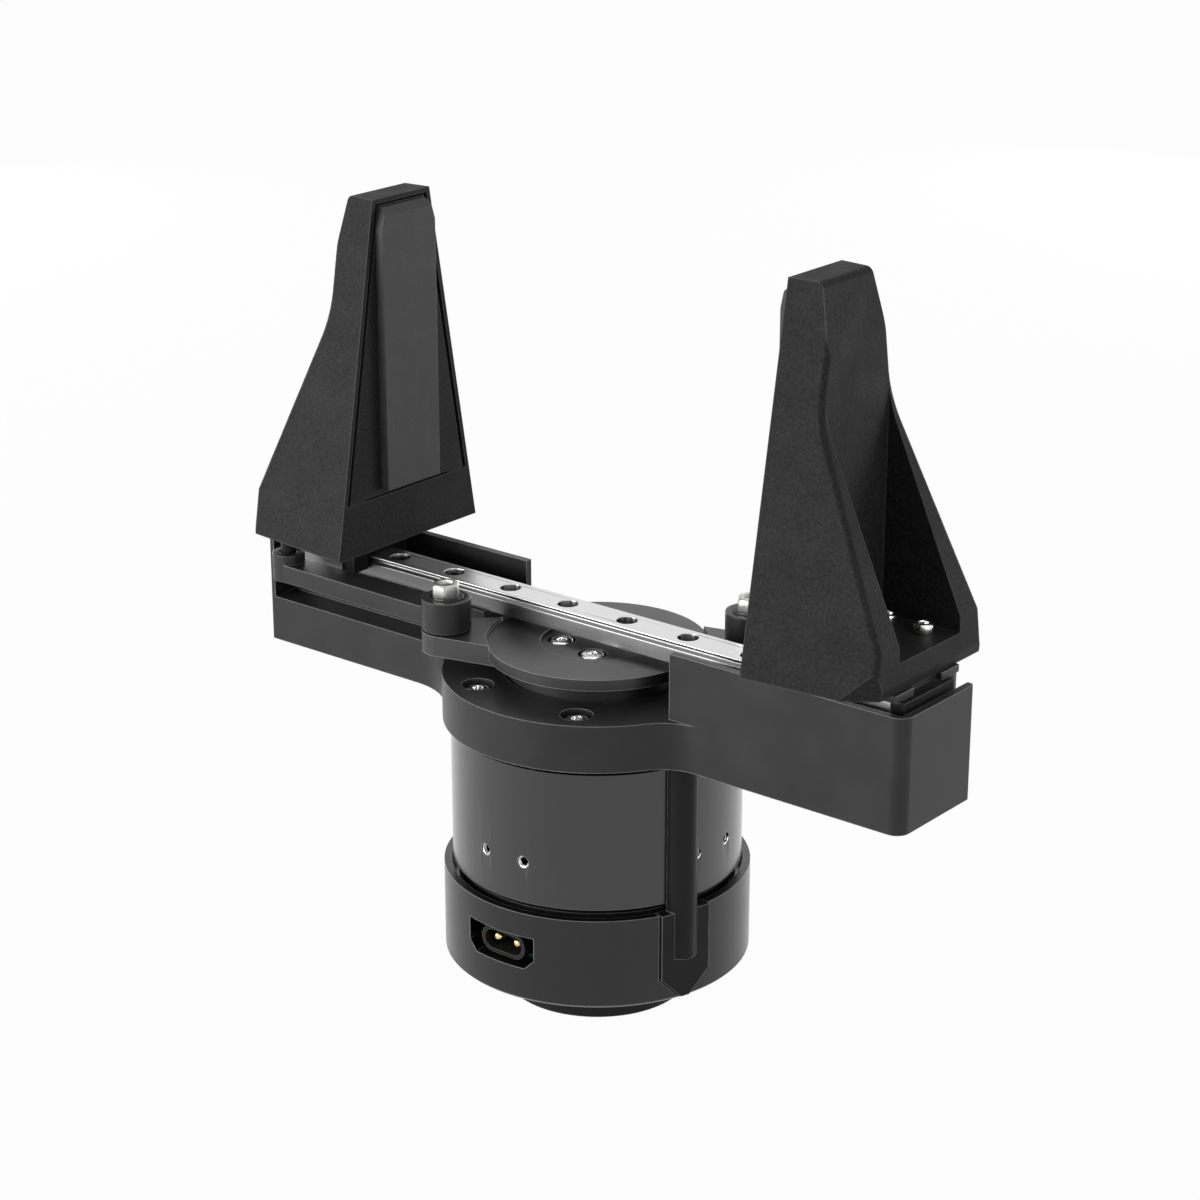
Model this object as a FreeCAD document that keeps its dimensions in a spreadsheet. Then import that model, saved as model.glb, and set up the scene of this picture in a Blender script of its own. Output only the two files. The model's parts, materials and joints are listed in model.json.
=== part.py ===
import FreeCAD, Part

import math
import os
import re

import Sketcher

# Electric two finger gripper, in millimetres. Its own frame: +Z up, the origin at the middle of the mounting
# boss's foot, and +X along the rail. The mechanism is the same when it is turned half round about Z, so every
# sided piece is made once at +X and turned 180 degrees for the other side. The fingers are drawn fully open.

SIZES = {
    # Mounting boss under the driver cup
    "boss_radius": 18.5,
    "boss_height": 8.5,
    "boss_spigot_radius": 15.0,
    "boss_bore_radius": 4.0,
    "boss_screw_circle": 27.0,
    "boss_screw_radius": 1.25,
    "boss_screw_depth": 6.0,
    "boss_screws": 4,
    # Driver cup
    "cup_height": 18.8,
    "cup_floor": 2.0,
    "cup_rim_wall": 1.6,
    "cup_rim_gap": 0.2,
    "cup_shelf_width": 1.6,
    "cup_groove_depth": 3.0,
    "cup_shelf_drop": 4.4,
    "cup_edge": 0.5,
    # Power socket and the window it looks out of
    "window_width": 16.4,
    "window_height": 6.8,
    "window_cut": 2.0,
    "window_cover": 0.7,
    "socket_width": 11.0,
    "socket_height": 5.6,
    "socket_setback": 1.6,
    "socket_length": 8.6,
    "socket_wall": 0.8,
    "socket_well": 5.5,
    "socket_pitch": 5.0,
    "socket_pin_radius": 1.0,
    "socket_pin_reach": 4.6,
    # Driver board
    "board_play": 0.8,
    "board_thickness": 1.6,
    "board_hole_radius": 5.0,
    "spacer_radius": 2.4,
    "spacer_circle": 42.0,
    "chip_side": 7.0,
    "chip_height": 1.0,
    "driver_side": 3.4,
    "driver_count": 6,
    "driver_ring": 13.0,
    # Motor housing
    "housing_radius": 29.2,
    "housing_neck_step": 1.2,
    "housing_wall": 4.2,
    "housing_height": 30.7,
    "housing_roof": 4.0,
    "skirt_gap": 0.3,
    "side_hole_angle": 9.4,
    "side_hole_radius": 1.25,
    "side_hole_depth": 3.3,
    "side_hole_lift": 9.7,
    "side_hole_pairs": 4,
    # Side column
    "column_angle": 17.4,
    "column_radius": 3.3,
    "column_lift": 8.9,
    "column_stand_off": 0.05,
    "tab_width": 11.2,
    "tab_shoulder": 5.0,
    "tab_tip_width": 2.0,
    "tab_depth": 2.4,
    "tab_proud": 0.2,
    "tab_play": 0.15,
    "tab_foot": 0.3,
    # Motor: stator, rotor and the plates that hold the shaft's bearings
    "end_plate_thickness": 2.2,
    "rear_plate_lift": 1.5,
    "shaft_radius": 3.0,
    "shaft_play": 0.05,
    "shaft_tail": 3.4,
    "shaft_bearing_radius": 6.0,
    "stator_length": 10.0,
    "stator_gap": 3.2,
    "stator_yoke": 2.6,
    "stator_slot": 6.8,
    "stator_teeth": 12,
    "tooth_width": 3.2,
    "shoe_width": 5.6,
    "shoe_thickness": 1.2,
    "coil_thickness": 1.3,
    "air_gap": 0.4,
    "magnet_thickness": 1.8,
    "magnet_count": 10,
    "magnet_spacing": 4.0,
    "rotor_rim": 2.0,
    "rotor_web": 2.2,
    "encoder_radius": 3.0,
    "encoder_height": 2.5,
    # Planetary stage
    "ring_rim": 2.6875,
    "sun_teeth": 15,
    "planet_teeth": 21,
    "planet_count": 3,
    "gear_width": 5.0,
    "gear_gap": 0.6,
    "gear_backlash": 0.15,
    "gear_pressure_angle": 20.0,
    "planet_pin_radius": 1.5,
    "planet_pin_play": 0.05,
    # Output flange and its bearing
    "flange_radius": 18.0,
    "flange_bore_radius": 5.0,
    "flange_rise": 3.6,
    "flange_play": 0.6,
    "carrier_step": 2.4,
    "carrier_thickness": 1.5,
    "carrier_gap": 0.2,
    "bearing_section": 3.5,
    "bearing_height": 3.6,
    "bearing_race": 1.0,
    "roller_play": 0.1,
    "roller_count": 18,
    # Base plate
    "plate_radius": 30.8,
    "plate_thickness": 9.6,
    "wing_reach": 80.4,
    "wing_high_side": 12.5,
    "wing_low_side": 10.65,
    "wing_high_corner": 2.8,
    "wing_low_corner": 0.8,
    "high_side_fillet": 10.0,
    "low_side_fillet": 16.0,
    "wall_start": 27.6,
    "wall_height": 13.3,
    "wall_thickness": 1.5,
    "rib_start": 26.0,
    "rib_width": 9.0,
    "rail_arm_gap": 0.3,
    "plate_screw_circle": 50.0,
    "plate_screw_angle": 60.0,
    "plate_screw_sink": 2.6,
    "plate_screw_bore": 3.2,
    "plate_screw_head": 2.6,
    "plate_screw_head_height": 1.9,
    "plate_screw_shank": 1.5,
    "plate_screw_bite": 3.4,
    # Linear rail
    "rail_width": 7.0,
    "rail_height": 4.8,
    "rail_end_gap": 5.4,
    "rail_pitch": 15.0,
    "rail_hole_margin": 6.0,
    "rail_groove_depth": 0.6,
    "rail_groove_height": 1.2,
    "rail_groove_drop": 0.5,
    "rail_sink_radius": 2.1,
    "rail_sink_depth": 2.3,
    "rail_hole_radius": 1.2,
    "rail_screw_head": 1.9,
    "rail_screw_head_height": 1.8,
    "rail_screw_shank": 1.0,
    "rail_screw_bite": 4.0,
    "rail_screws_each_end": 3,
    # Crank
    "disc_radius": 21.9,
    "disc_thickness": 2.3,
    "hub_radius": 11.3,
    "hub_recess": 0.3,
    "crank_screw_circle": 14.2,
    "crank_screw_bore": 2.9,
    "crank_screw_sink": 1.5,
    "crank_screw_head": 2.4,
    "crank_screw_head_height": 1.3,
    "crank_screw_shank": 1.25,
    "crank_screw_bite": 6.0,
    "crank_screws": 4,
    "crank_throw": 30.2,
    "arm_end_radius": 5.0,
    "arm_thickness": 4.2,
    "arm_step": 0.8,
    "arm_root_half": 9.0,
    "arm_root_inset": 4.0,
    "arm_hole_radius": 1.6,
    # Links
    "pin_side": 15.7,
    "pin_inset": 19.4,
    "link_gap": 0.35,
    "link_boss_radius": 4.95,
    "link_boss_height": 6.45,
    "bar_lift": 0.7,
    "bar_width": 6.2,
    "bar_thickness": 3.7,
    "post_radius": 3.35,
    "link_bearing_radius": 3.6,
    "link_bearing_height": 1.2,
    "link_bearing_proud": 0.2,
    "link_bolt_shank": 2.0,
    "link_bolt_head": 2.8,
    "link_bolt_head_height": 2.8,
    "link_pin_radius": 1.5,
    "link_pin_play": 0.05,
    "link_pin_grip": 3.5,
    # Carriages
    "carriage_inset": 17.9,
    "block_length": 13.6,
    "block_width": 17.0,
    "block_crown": 3.2,
    "block_lift": 1.5,
    "block_rail_play": 0.15,
    "block_edge": 0.5,
    "cap_length": 3.0,
    "cap_inset": 0.4,
    "adapter_thickness": 1.5,
    "adapter_width": 21.0,
    "adapter_length": 18.4,
    "adapter_notch_width": 9.0,
    "adapter_notch": 1.5,
    "finger_screw_across": 12.0,
    "finger_screw_along": 8.0,
    "finger_screw_head": 1.9,
    "finger_screw_head_height": 2.0,
    "finger_screw_shank": 1.0,
    "finger_screw_bite": 2.6,
    "hex_share": 0.55,
    "hex_depth_share": 0.6,
    # Fingers
    "finger_end_gap": 3.2,
    "finger_height": 72.0,
    "finger_depth": 27.2,
    "finger_base_half": 20.8,
    "finger_top_half": 8.3,
    "finger_taper": 2.7,
    "tip_depth": 7.0,
    "tip_round": 1.5,
    "core_depth": 9.8,
    "core_low": 53.1,
    "core_high": 59.1,
    "bend_radius": 24.0,
    "heel_height": 9.2,
    "foot_height": 2.3,
    "foot_inset": 0.8,
    "flange_round": 1.2,
    "pocket_skin": 0.2,
    "pocket_half": 10.0,
    "pocket_floor": 6.2,
    "corner_along": 7.0,
    "corner_side": 13.2,
    "corner_rise": 10.0,
    "insert_margin": 1.0,
    "insert_depth": 2.5,
    "insert_bottom": 11.0,
    "insert_gap": 0.35,
    "insert_side_gap": 0.8,
    "pad_half": 7.8,
    "pad_thickness": 2.0,
    "pad_margin": 0.4,
    "pad_lift": 1.1,
    "pad_shoulder": 6.0,
    "pad_bevel": 1.4,
    "seam_half": 12.4,
}

PLACES = {
    # Casings, from the foot up
    "housing_neck_radius": "housing_radius - housing_neck_step",
    "housing_bore_radius": "housing_radius - housing_wall",
    "cup_radius": "housing_radius + cup_rim_gap + cup_rim_wall",
    "cup_bore_radius": "housing_neck_radius - cup_shelf_width",
    "cup_top": "boss_height + cup_height",
    "cup_floor_top": "boss_height + cup_floor",
    "shelf_z": "cup_top - cup_shelf_drop",
    "groove_z": "cup_top - cup_groove_depth",
    "skirt_z": "cup_top + skirt_gap",
    "plate_z": "skirt_z + housing_height",
    "roof_z": "plate_z - housing_roof",
    "plate_top": "plate_z + plate_thickness",
    "disc_z": "plate_top + flange_rise",
    "disc_top": "disc_z + disc_thickness",
    "arm_top": "disc_top + arm_step",
    "arm_z": "arm_top - arm_thickness",
    "rail_z": "arm_top + rail_arm_gap",
    "rail_top": "rail_z + rail_height",
    "rail_length": "2 * (wing_reach - rail_end_gap)",
    "rail_holes": "floor((rail_length - 2 * rail_hole_margin) / rail_pitch) + 1",
    "rail_row": "(rail_holes - 1) * rail_pitch",
    "link_z": "arm_top + link_gap",
    "link_top": "link_z + link_boss_height",
    "bar_z": "link_z + bar_lift",
    "block_z": "rail_z + block_lift",
    "block_top": "rail_top + block_crown",
    "finger_z": "block_top + adapter_thickness",
    "finger_top": "finger_z + finger_height",
    # Socket and driver board
    "window_z": "shelf_z - window_cover - window_height",
    "socket_z": "window_z + (window_height - socket_height) / 2",
    "socket_face": "cup_radius - socket_setback",
    "board_z": "socket_z - board_thickness",
    "board_radius": "cup_bore_radius - board_play",
    # Gears and motor, from the housing's roof down
    "bearing_radius": "flange_radius + bearing_section",
    "bearing_z": "plate_z - bearing_height",
    "carrier_radius": "flange_radius + carrier_step",
    "carrier_top": "roof_z - carrier_gap",
    "carrier_z": "carrier_top - carrier_thickness",
    "gear_top": "carrier_z - gear_gap",
    "gear_z": "gear_top - gear_width",
    "middle_plate_z": "gear_z - gear_gap - end_plate_thickness",
    "stator_z": "middle_plate_z - stator_gap - stator_length",
    "rear_plate_z": "shelf_z + rear_plate_lift",
    "shaft_foot": "rear_plate_z - shaft_tail",
    "stator_bore_radius": "housing_bore_radius - stator_yoke - stator_slot",
    "magnet_radius": "stator_bore_radius - air_gap",
    "rotor_radius": "magnet_radius - magnet_thickness",
    "ring_teeth": "sun_teeth + 2 * planet_teeth",
    "gear_module": "2 * (housing_bore_radius - ring_rim) / (ring_teeth + 2.5)",
    "orbit_radius": "gear_module * (sun_teeth + planet_teeth) / 2",
    # Linkage, fingers open
    "finger_open": "wing_reach - finger_end_gap - finger_depth",
    "crank_pin_x": "sqrt(crank_throw ^ 2 - pin_side ^ 2)",
    "link_pin_x": "finger_open + pin_inset",
    "carriage_x": "finger_open + carriage_inset",
    "arm_run": "crank_throw - disc_radius + arm_root_inset",
    "crank_angle": "atan(pin_side / crank_pin_x) / 1deg",
    "arm_reach": "sqrt(arm_run ^ 2 + arm_root_half ^ 2)",
    "arm_slope": "acos(arm_end_radius / arm_reach) - atan(arm_run / arm_root_half)",
    # Finger profile: the flare's line runs from the heel to touch the bend's circle
    "heel_x": "finger_open + finger_depth",
    "heel_z": "finger_z + heel_height",
    "bend_x": "finger_open + core_depth + bend_radius",
    "bend_z": "finger_z + core_low",
    "bend_reach": "sqrt((bend_x - heel_x) ^ 2 + (bend_z - heel_z) ^ 2)",
    "flare_angle": "asin(bend_radius / bend_reach) - atan((bend_x - heel_x) / (bend_z - heel_z))",
    "flare_x": "bend_x - bend_radius * cos(flare_angle)",
    "flare_z": "bend_z - bend_radius * sin(flare_angle)",
}

doc = FreeCAD.newDocument("TwoFingerGripper")
SHEET_OF = {}
ORIGIN = FreeCAD.Vector(0, 0, 0)
UP = FreeCAD.Vector(0, 0, 1)
PIECES = []


def bound(text):
    """The expression with each size's name led by the name of the sheet that holds it."""
    return re.sub(r"[a-z]\w*", lambda word: SHEET_OF.get(word.group(), word.group()), text)


def worth(text):
    """What an expression of the sheets comes to, as a number."""
    found = sizes.evalExpression(bound(text))
    return float(getattr(found, "Value", found))


def make_sheet(name, cells):
    """A sheet with one aliased cell for each entry."""
    sheet = doc.addObject("Spreadsheet::Sheet", name)
    for row, (alias, content) in enumerate(cells.items(), start=1):
        written = "=" + bound(content) if isinstance(content, str) else str(content)
        sheet.set(f"A{row}", alias)
        sheet.set(f"B{row}", written)
        sheet.setAlias(f"B{row}", alias)
        SHEET_OF[alias] = f"{name}.{alias}"
    doc.recompute()
    return sheet


sizes = make_sheet("Sizes", SIZES)
places = make_sheet("Places", PLACES)


def add_body(label, turn="0"):
    """An empty body for one piece, turned about Z by an expression in degrees."""
    body = doc.addObject("PartDesign::Body", label)
    body.Placement = FreeCAD.Placement(ORIGIN, FreeCAD.Rotation(UP, 1))
    body.setExpression("Placement.Rotation.Angle", bound(turn))
    PIECES.append(body)
    return body


def add_sketch(body, plane, lift="0", turn="0"):
    """A sketch on one of the body's origin planes, lifted along its normal and turned about Z."""
    sketch = body.newObject("Sketcher::SketchObject", body.Label + "_sketch")
    support = [item for item in body.Origin.OriginFeatures if item.Role == plane + "_Plane"][0]
    sketch.AttachmentSupport = [(support, "")]
    sketch.MapMode = "FlatFace"
    if plane == "XY":
        sketch.setExpression("AttachmentOffset.Base.z", bound(lift))
        return sketch
    spin = FreeCAD.Rotation(FreeCAD.Vector(0, 1, 0), 1)
    sketch.AttachmentOffset = FreeCAD.Placement(ORIGIN, spin)
    sketch.setExpression("AttachmentOffset.Rotation.Angle", bound(turn))
    sketch.setExpression("AttachmentOffset.Base.x", bound(f"({lift}) * sin({turn})"))
    sketch.setExpression("AttachmentOffset.Base.z", bound(f"({lift}) * cos({turn})"))
    return sketch


def hold_distance(sketch, kind, geometry, end, text):
    """Hold one point of a sketch at a distance from an axis, given by an expression."""
    amount = worth(text)
    if abs(amount) < 1e-9:
        axis = -2 if kind == "DistanceX" else -1
        sketch.addConstraint(Sketcher.Constraint("PointOnObject", geometry, end, axis))
        return
    rule = Sketcher.Constraint(kind, -1, 1, geometry, end, amount)
    sketch.setExpression(f"Constraints[{sketch.addConstraint(rule)}]", bound(text))


def hold_point(sketch, geometry, end, across, along):
    """Hold one point of a sketch at a place given by two expressions."""
    hold_distance(sketch, "DistanceX", geometry, end, across)
    hold_distance(sketch, "DistanceY", geometry, end, along)


def hold_radius(sketch, geometry, radius):
    """Hold the radius of a circle or an arc to an expression."""
    rule = Sketcher.Constraint("Radius", geometry, worth(radius))
    sketch.setExpression(f"Constraints[{sketch.addConstraint(rule)}]", bound(radius))


def add_circle(sketch, radius, across="0", along="0"):
    """A circle about a place in the sketch."""
    centre = FreeCAD.Vector(worth(across), worth(along), 0)
    circle = sketch.addGeometry(Part.Circle(centre, UP, worth(radius)))
    hold_point(sketch, circle, 3, across, along)
    hold_radius(sketch, circle, radius)


def add_outline(sketch, corners):
    """A closed outline. A corner is (x, y), or (x, y, radius, turn) where an arc runs on to the next corner.

    The radius "half" is a half circle to a corner straight above or below.
    """
    points = [FreeCAD.Vector(worth(corner[0]), worth(corner[1]), 0) for corner in corners]
    sides = []
    for index, corner in enumerate(corners):
        here = points[index]
        there = points[(index + 1) % len(points)]
        if len(corner) == 2:
            sides.append((sketch.addGeometry(Part.LineSegment(here, there)), 1, 2))
            continue
        turn = corner[3]
        first, last = (here, there) if turn > 0 else (there, here)
        chord = last - first
        radius = chord.Length / 2 if corner[2] == "half" else worth(corner[2])
        rise = math.sqrt(radius ** 2 - (chord.Length / 2) ** 2)
        centre = (first + last) / 2 + FreeCAD.Vector(-chord.y, chord.x, 0).normalize() * rise
        start = math.atan2(first.y - centre.y, first.x - centre.x)
        finish = math.atan2(last.y - centre.y, last.x - centre.x)
        arc = sketch.addGeometry(Part.ArcOfCircle(Part.Circle(centre, UP, radius), start, finish))
        sides.append((arc, 1, 2) if turn > 0 else (arc, 2, 1))
    for index, corner in enumerate(corners):
        geometry, begin, _ = sides[index]
        before, _, end = sides[index - 1]
        sketch.addConstraint(Sketcher.Constraint("Coincident", before, end, geometry, begin))
        hold_point(sketch, geometry, begin, corner[0], corner[1])
        if len(corner) > 2 and corner[2] == "half":
            hold_distance(sketch, "DistanceX", geometry, 3, corner[0])
        elif len(corner) > 2:
            hold_radius(sketch, geometry, corner[2])


def add_box_outline(sketch, left, right, low, high):
    """A rectangle from its four sides."""
    add_outline(sketch, [(left, low), (right, low), (right, high), (left, high)])


def finish_feature(body, feature):
    """Recompute the body with the feature as its tip, and check that it changed the solid."""
    before = body.Shape.Volume if body.Tip and not body.Shape.isNull() else 0.0
    body.Tip = feature
    doc.recompute()
    if abs(feature.Shape.Volume - before) < 1e-6:
        raise RuntimeError(f"{feature.Label} changes nothing")
    return feature


def add_prism(body, kind, sketch, length, middle=False, reverse=False):
    """A Pad or a Pocket of the sketch."""
    feature = body.newObject("PartDesign::" + kind, body.Label + "_" + kind.lower())
    feature.Profile = sketch
    feature.setExpression("Length", bound(length))
    feature.SideType = "Symmetric" if middle else "One side"
    feature.Reversed = reverse
    return finish_feature(body, feature)


def pad(body, sketch, length, **options):
    """Material over the sketch."""
    return add_prism(body, "Pad", sketch, length, **options)


def pocket(body, sketch, length, **options):
    """A cut of the sketch's shape, into the side that its normal leaves."""
    return add_prism(body, "Pocket", sketch, length, **options)


def revolve(body, corners):
    """A full turn about Z of an outline of radii and heights."""
    sketch = add_sketch(body, "XZ")
    add_outline(sketch, corners)
    feature = body.newObject("PartDesign::Revolution", body.Label + "_revolution")
    feature.Profile = sketch
    feature.ReferenceAxis = (sketch, ["V_Axis"])
    feature.Angle = 360
    return finish_feature(body, feature)


def repeat_round(body, feature, count):
    """Copies of a feature, evenly round Z."""
    pattern = body.newObject("PartDesign::PolarPattern", body.Label + "_pattern")
    pattern.Originals = [feature]
    pattern.Axis = ([item for item in body.Origin.OriginFeatures if item.Role == "Z_Axis"][0], [""])
    pattern.Angle = 360
    pattern.setExpression("Occurrences", bound(count))
    return finish_feature(body, pattern)


def repeat_along(body, feature, length, count):
    """Copies of a feature in a row along X."""
    pattern = body.newObject("PartDesign::LinearPattern", body.Label + "_pattern")
    pattern.Originals = [feature]
    pattern.Direction = ([item for item in body.Origin.OriginFeatures if item.Role == "X_Axis"][0], [""])
    pattern.setExpression("Length", bound(length))
    pattern.setExpression("Occurrences", bound(count))
    return finish_feature(body, pattern)


def edges_where(shape, wanted):
    """The names of a shape's edges that pass a test of their middle, their start and their end."""
    names = []
    for index, edge in enumerate(shape.Edges, start=1):
        ends = [vertex.Point for vertex in edge.Vertexes]
        if len(ends) == 2 and wanted(edge.CenterOfMass, ends[0], ends[1]):
            names.append(f"Edge{index}")
    return names


def upright(start, end):
    """Whether an edge runs straight up."""
    return math.hypot(start.x - end.x, start.y - end.y) < 1e-6


def soften(body, kind, size, wanted):
    """A Fillet or a Chamfer on the edges that pass a test."""
    tip = body.Tip
    feature = body.newObject("PartDesign::" + kind, body.Label + "_" + kind.lower())
    feature.Base = (tip, edges_where(tip.Shape, wanted))
    feature.setExpression("Radius" if kind == "Fillet" else "Size", bound(size))
    return finish_feature(body, feature)


def add_feature(label, shape):
    """A piece whose solids come straight from a shape."""
    feature = doc.addObject("Part::Feature", label)
    feature.Shape = shape
    feature.Placement = shape.Placement
    PIECES.append(feature)
    return feature


def add_group(label, solids):
    """A piece made of several separate solids."""
    return add_feature(label, Part.makeCompound(solids))


def turned(shape, degrees):
    """A copy of a shape turned about Z."""
    copy = shape.copy()
    copy.rotate(ORIGIN, UP, degrees)
    return copy


def moved(shape, x, y, z):
    """A copy of a shape moved to a place."""
    copy = shape.copy()
    copy.translate(FreeCAD.Vector(x, y, z))
    return copy


def ring(outer, inner, low, high):
    """A plain ring about Z."""
    base = FreeCAD.Vector(0, 0, low)
    height = high - low
    return Part.makeCylinder(outer, height, base).cut(Part.makeCylinder(inner, height, base))


def prism(sides, radius, low, high):
    """An upright prism about Z, its corners on the radius."""
    corner = FreeCAD.Vector(radius, 0, low)
    corners = [FreeCAD.Rotation(UP, 360 * step / sides).multVec(corner) for step in range(sides + 1)]
    return Part.Face(Part.makePolygon(corners)).extrude(UP * (high - low))


def screw(head, head_height, shank, shank_length):
    """A socket head screw that stands on the origin, its shank down. The socket fits inside the head."""
    corner = head * worth("hex_share")
    depth = head_height * worth("hex_depth_share")
    body = Part.makeCylinder(head, head_height).cut(prism(6, corner, head_height - depth, head_height))
    return body.fuse(prism(12, shank, -shank_length, 0)).removeSplitter()


# Actuator casings


def make_boss():
    """The disc that the actuator stands on and is bolted by."""
    body = add_body("mounting_boss")
    revolve(body, [
        ("boss_bore_radius", "0"),
        ("boss_radius", "0"),
        ("boss_radius", "boss_height"),
        ("boss_spigot_radius", "boss_height"),
        ("boss_spigot_radius", "cup_floor_top"),
        ("boss_bore_radius", "cup_floor_top"),
    ])
    sketch = add_sketch(body, "XY")
    diagonal = "boss_screw_circle / 2 * cos(45)"
    add_circle(sketch, "boss_screw_radius", diagonal, diagonal)
    hole = pocket(body, sketch, "boss_screw_depth", reverse=True)
    repeat_round(body, hole, "boss_screws")


def tab_outline(grow):
    """The outline of the side column's tab, wider all round by an expression."""
    half = f"(tab_width / 2 + {grow})"
    tip = f"(tab_tip_width / 2 + {grow})"
    foot = f"(boss_height + tab_foot - {grow})"
    shoulder = f"(boss_height + tab_shoulder - {grow})"
    return [
        ("-" + tip, foot),
        (tip, foot),
        (half, shoulder),
        (half, "cup_top"),
        ("-" + half, "cup_top"),
        ("-" + half, shoulder),
    ]


def make_cup():
    """The driver cup, with a shelf for the motor housing, the socket's window and the tab's slot."""
    body = add_body("driver_cup")
    revolve(body, [
        ("boss_spigot_radius", "boss_height"),
        ("cup_radius - cup_edge", "boss_height"),
        ("cup_radius", "boss_height + cup_edge"),
        ("cup_radius", "cup_top"),
        ("cup_radius - cup_rim_wall", "cup_top"),
        ("cup_radius - cup_rim_wall", "groove_z"),
        ("housing_neck_radius", "groove_z"),
        ("housing_neck_radius", "shelf_z"),
        ("cup_bore_radius", "shelf_z"),
        ("cup_bore_radius", "cup_floor_top"),
        ("boss_spigot_radius", "cup_floor_top"),
    ])
    window = add_sketch(body, "XZ", lift="cup_radius + 1")
    half = "window_width / 2"
    add_outline(window, [
        (f"-({half} - window_cut)", "window_z"),
        (f"{half} - window_cut", "window_z"),
        (half, "window_z + window_cut"),
        (half, "window_z + window_height"),
        (f"-({half})", "window_z + window_height"),
        (f"-({half})", "window_z + window_cut"),
    ])
    pocket(body, window, "cup_radius + 1 - socket_face + socket_length + 1")
    slot = add_sketch(body, "YZ", lift="cup_radius + 3", turn="-column_angle")
    add_outline(slot, tab_outline("tab_play"))
    pocket(body, slot, "3 + tab_depth - tab_proud")


def make_column():
    """The half-round column down the housing's side, with its flat tab in the cup's slot."""
    body = add_body("side_column", turn="-column_angle")
    tab = add_sketch(body, "YZ", lift="cup_radius - tab_depth + tab_proud")
    add_outline(tab, tab_outline("0"))
    pad(body, tab, "tab_depth")
    back = "(housing_radius + column_stand_off)"
    shaft = add_sketch(body, "XY", lift="boss_height + column_lift")
    add_outline(shaft, [
        (back, "-column_radius", "half", 1),
        (back, "column_radius"),
    ])
    pad(body, shaft, "plate_z - boss_height - column_lift")


def make_housing():
    """The motor housing, with four pairs of tapped holes in its side."""
    body = add_body("motor_housing")
    revolve(body, [
        ("housing_bore_radius", "shelf_z"),
        ("housing_neck_radius", "shelf_z"),
        ("housing_neck_radius", "skirt_z"),
        ("housing_radius", "skirt_z + housing_radius - housing_neck_radius"),
        ("housing_radius", "plate_z"),
        ("bearing_radius", "plate_z"),
        ("bearing_radius", "roof_z"),
        ("housing_bore_radius", "roof_z"),
    ])
    side = add_sketch(body, "XZ", lift="housing_radius + 1")
    for hand in ("-1", "1"):
        add_circle(side, "side_hole_radius", f"{hand} * housing_radius * sin(side_hole_angle)",
                   "skirt_z + side_hole_lift")
    sunk = "housing_radius * (1 - cos(side_hole_angle))"
    holes = pocket(body, side, f"1 + side_hole_depth + {sunk}")
    repeat_round(body, holes, "side_hole_pairs")
    top = add_sketch(body, "XY", lift="plate_z")
    add_plate_screw_circles(top, "plate_screw_shank")
    pocket(body, top, "plate_screw_bite")


def add_plate_screw_circles(sketch, radius):
    """A circle at each of the four plate screws."""
    for along in ("-1", "1"):
        for across in ("-1", "1"):
            add_circle(sketch, radius, f"{across} * plate_screw_circle / 2 * cos(plate_screw_angle)",
                       f"{along} * plate_screw_circle / 2 * sin(plate_screw_angle)")


def make_socket():
    """The two pin power inlet: a rounded shell with a well in its face."""
    body = add_body("power_socket")
    middle = "(socket_z + socket_height / 2)"
    face = add_sketch(body, "XZ", lift="socket_face")
    stadium(face, "socket_width", "socket_height", middle)
    pad(body, face, "socket_length", reverse=True)
    well = add_sketch(body, "XZ", lift="socket_face")
    stadium(well, "socket_width - 2 * socket_wall", "socket_height - 2 * socket_wall", middle)
    pocket(body, well, "socket_well")


def stadium(sketch, width, height, middle):
    """A slot with round ends, centred on X."""
    run = f"(({width}) - ({height})) / 2"
    end = f"({height}) / 2"
    add_outline(sketch, [
        (f"-({run})", f"{middle} - {end}"),
        (run, f"{middle} - {end}", "half", 1),
        (run, f"{middle} + {end}"),
        (f"-({run})", f"{middle} + {end}", "half", 1),
    ])


def make_socket_pins():
    """The inlet's two round pins, which stand on the floor of the well."""
    floor = worth("socket_face - socket_well")
    level = worth("socket_z + socket_height / 2")
    pins = []
    for hand in (-1, 1):
        foot = FreeCAD.Vector(hand * worth("socket_pitch / 2"), -floor, level)
        pins.append(Part.makeCylinder(worth("socket_pin_radius"), worth("socket_pin_reach"), foot,
                                      FreeCAD.Vector(0, -1, 0)))
    add_group("socket_pins", pins)


def make_board():
    """The driver board, its components and the spacers that it stands on."""
    body = add_body("driver_board")
    sketch = add_sketch(body, "XY", lift="board_z")
    add_circle(sketch, "board_radius")
    add_circle(sketch, "board_hole_radius")
    pad(body, sketch, "board_thickness")
    level = worth("socket_z")
    height = worth("chip_height")
    chip = worth("chip_side")
    driver = worth("driver_side")
    reach = worth("driver_ring")
    chips = [Part.makeBox(chip, chip, height, FreeCAD.Vector(-chip / 2, reach - chip / 2, level))]
    count = int(worth("driver_count"))
    for step in range(count):
        block = Part.makeBox(driver, driver, height, FreeCAD.Vector(reach, -driver / 2, level))
        chips.append(turned(block, 180 + 180 * (step + 1) / (count + 1)))
    add_group("board_components", chips)
    post = prism(6, worth("spacer_radius"), worth("cup_floor_top"), worth("board_z"))
    post = moved(post, worth("spacer_circle") / 2, 0, 0)
    add_group("board_spacers", [turned(post, 60 + 120 * step) for step in range(3)])


# Motor


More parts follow.
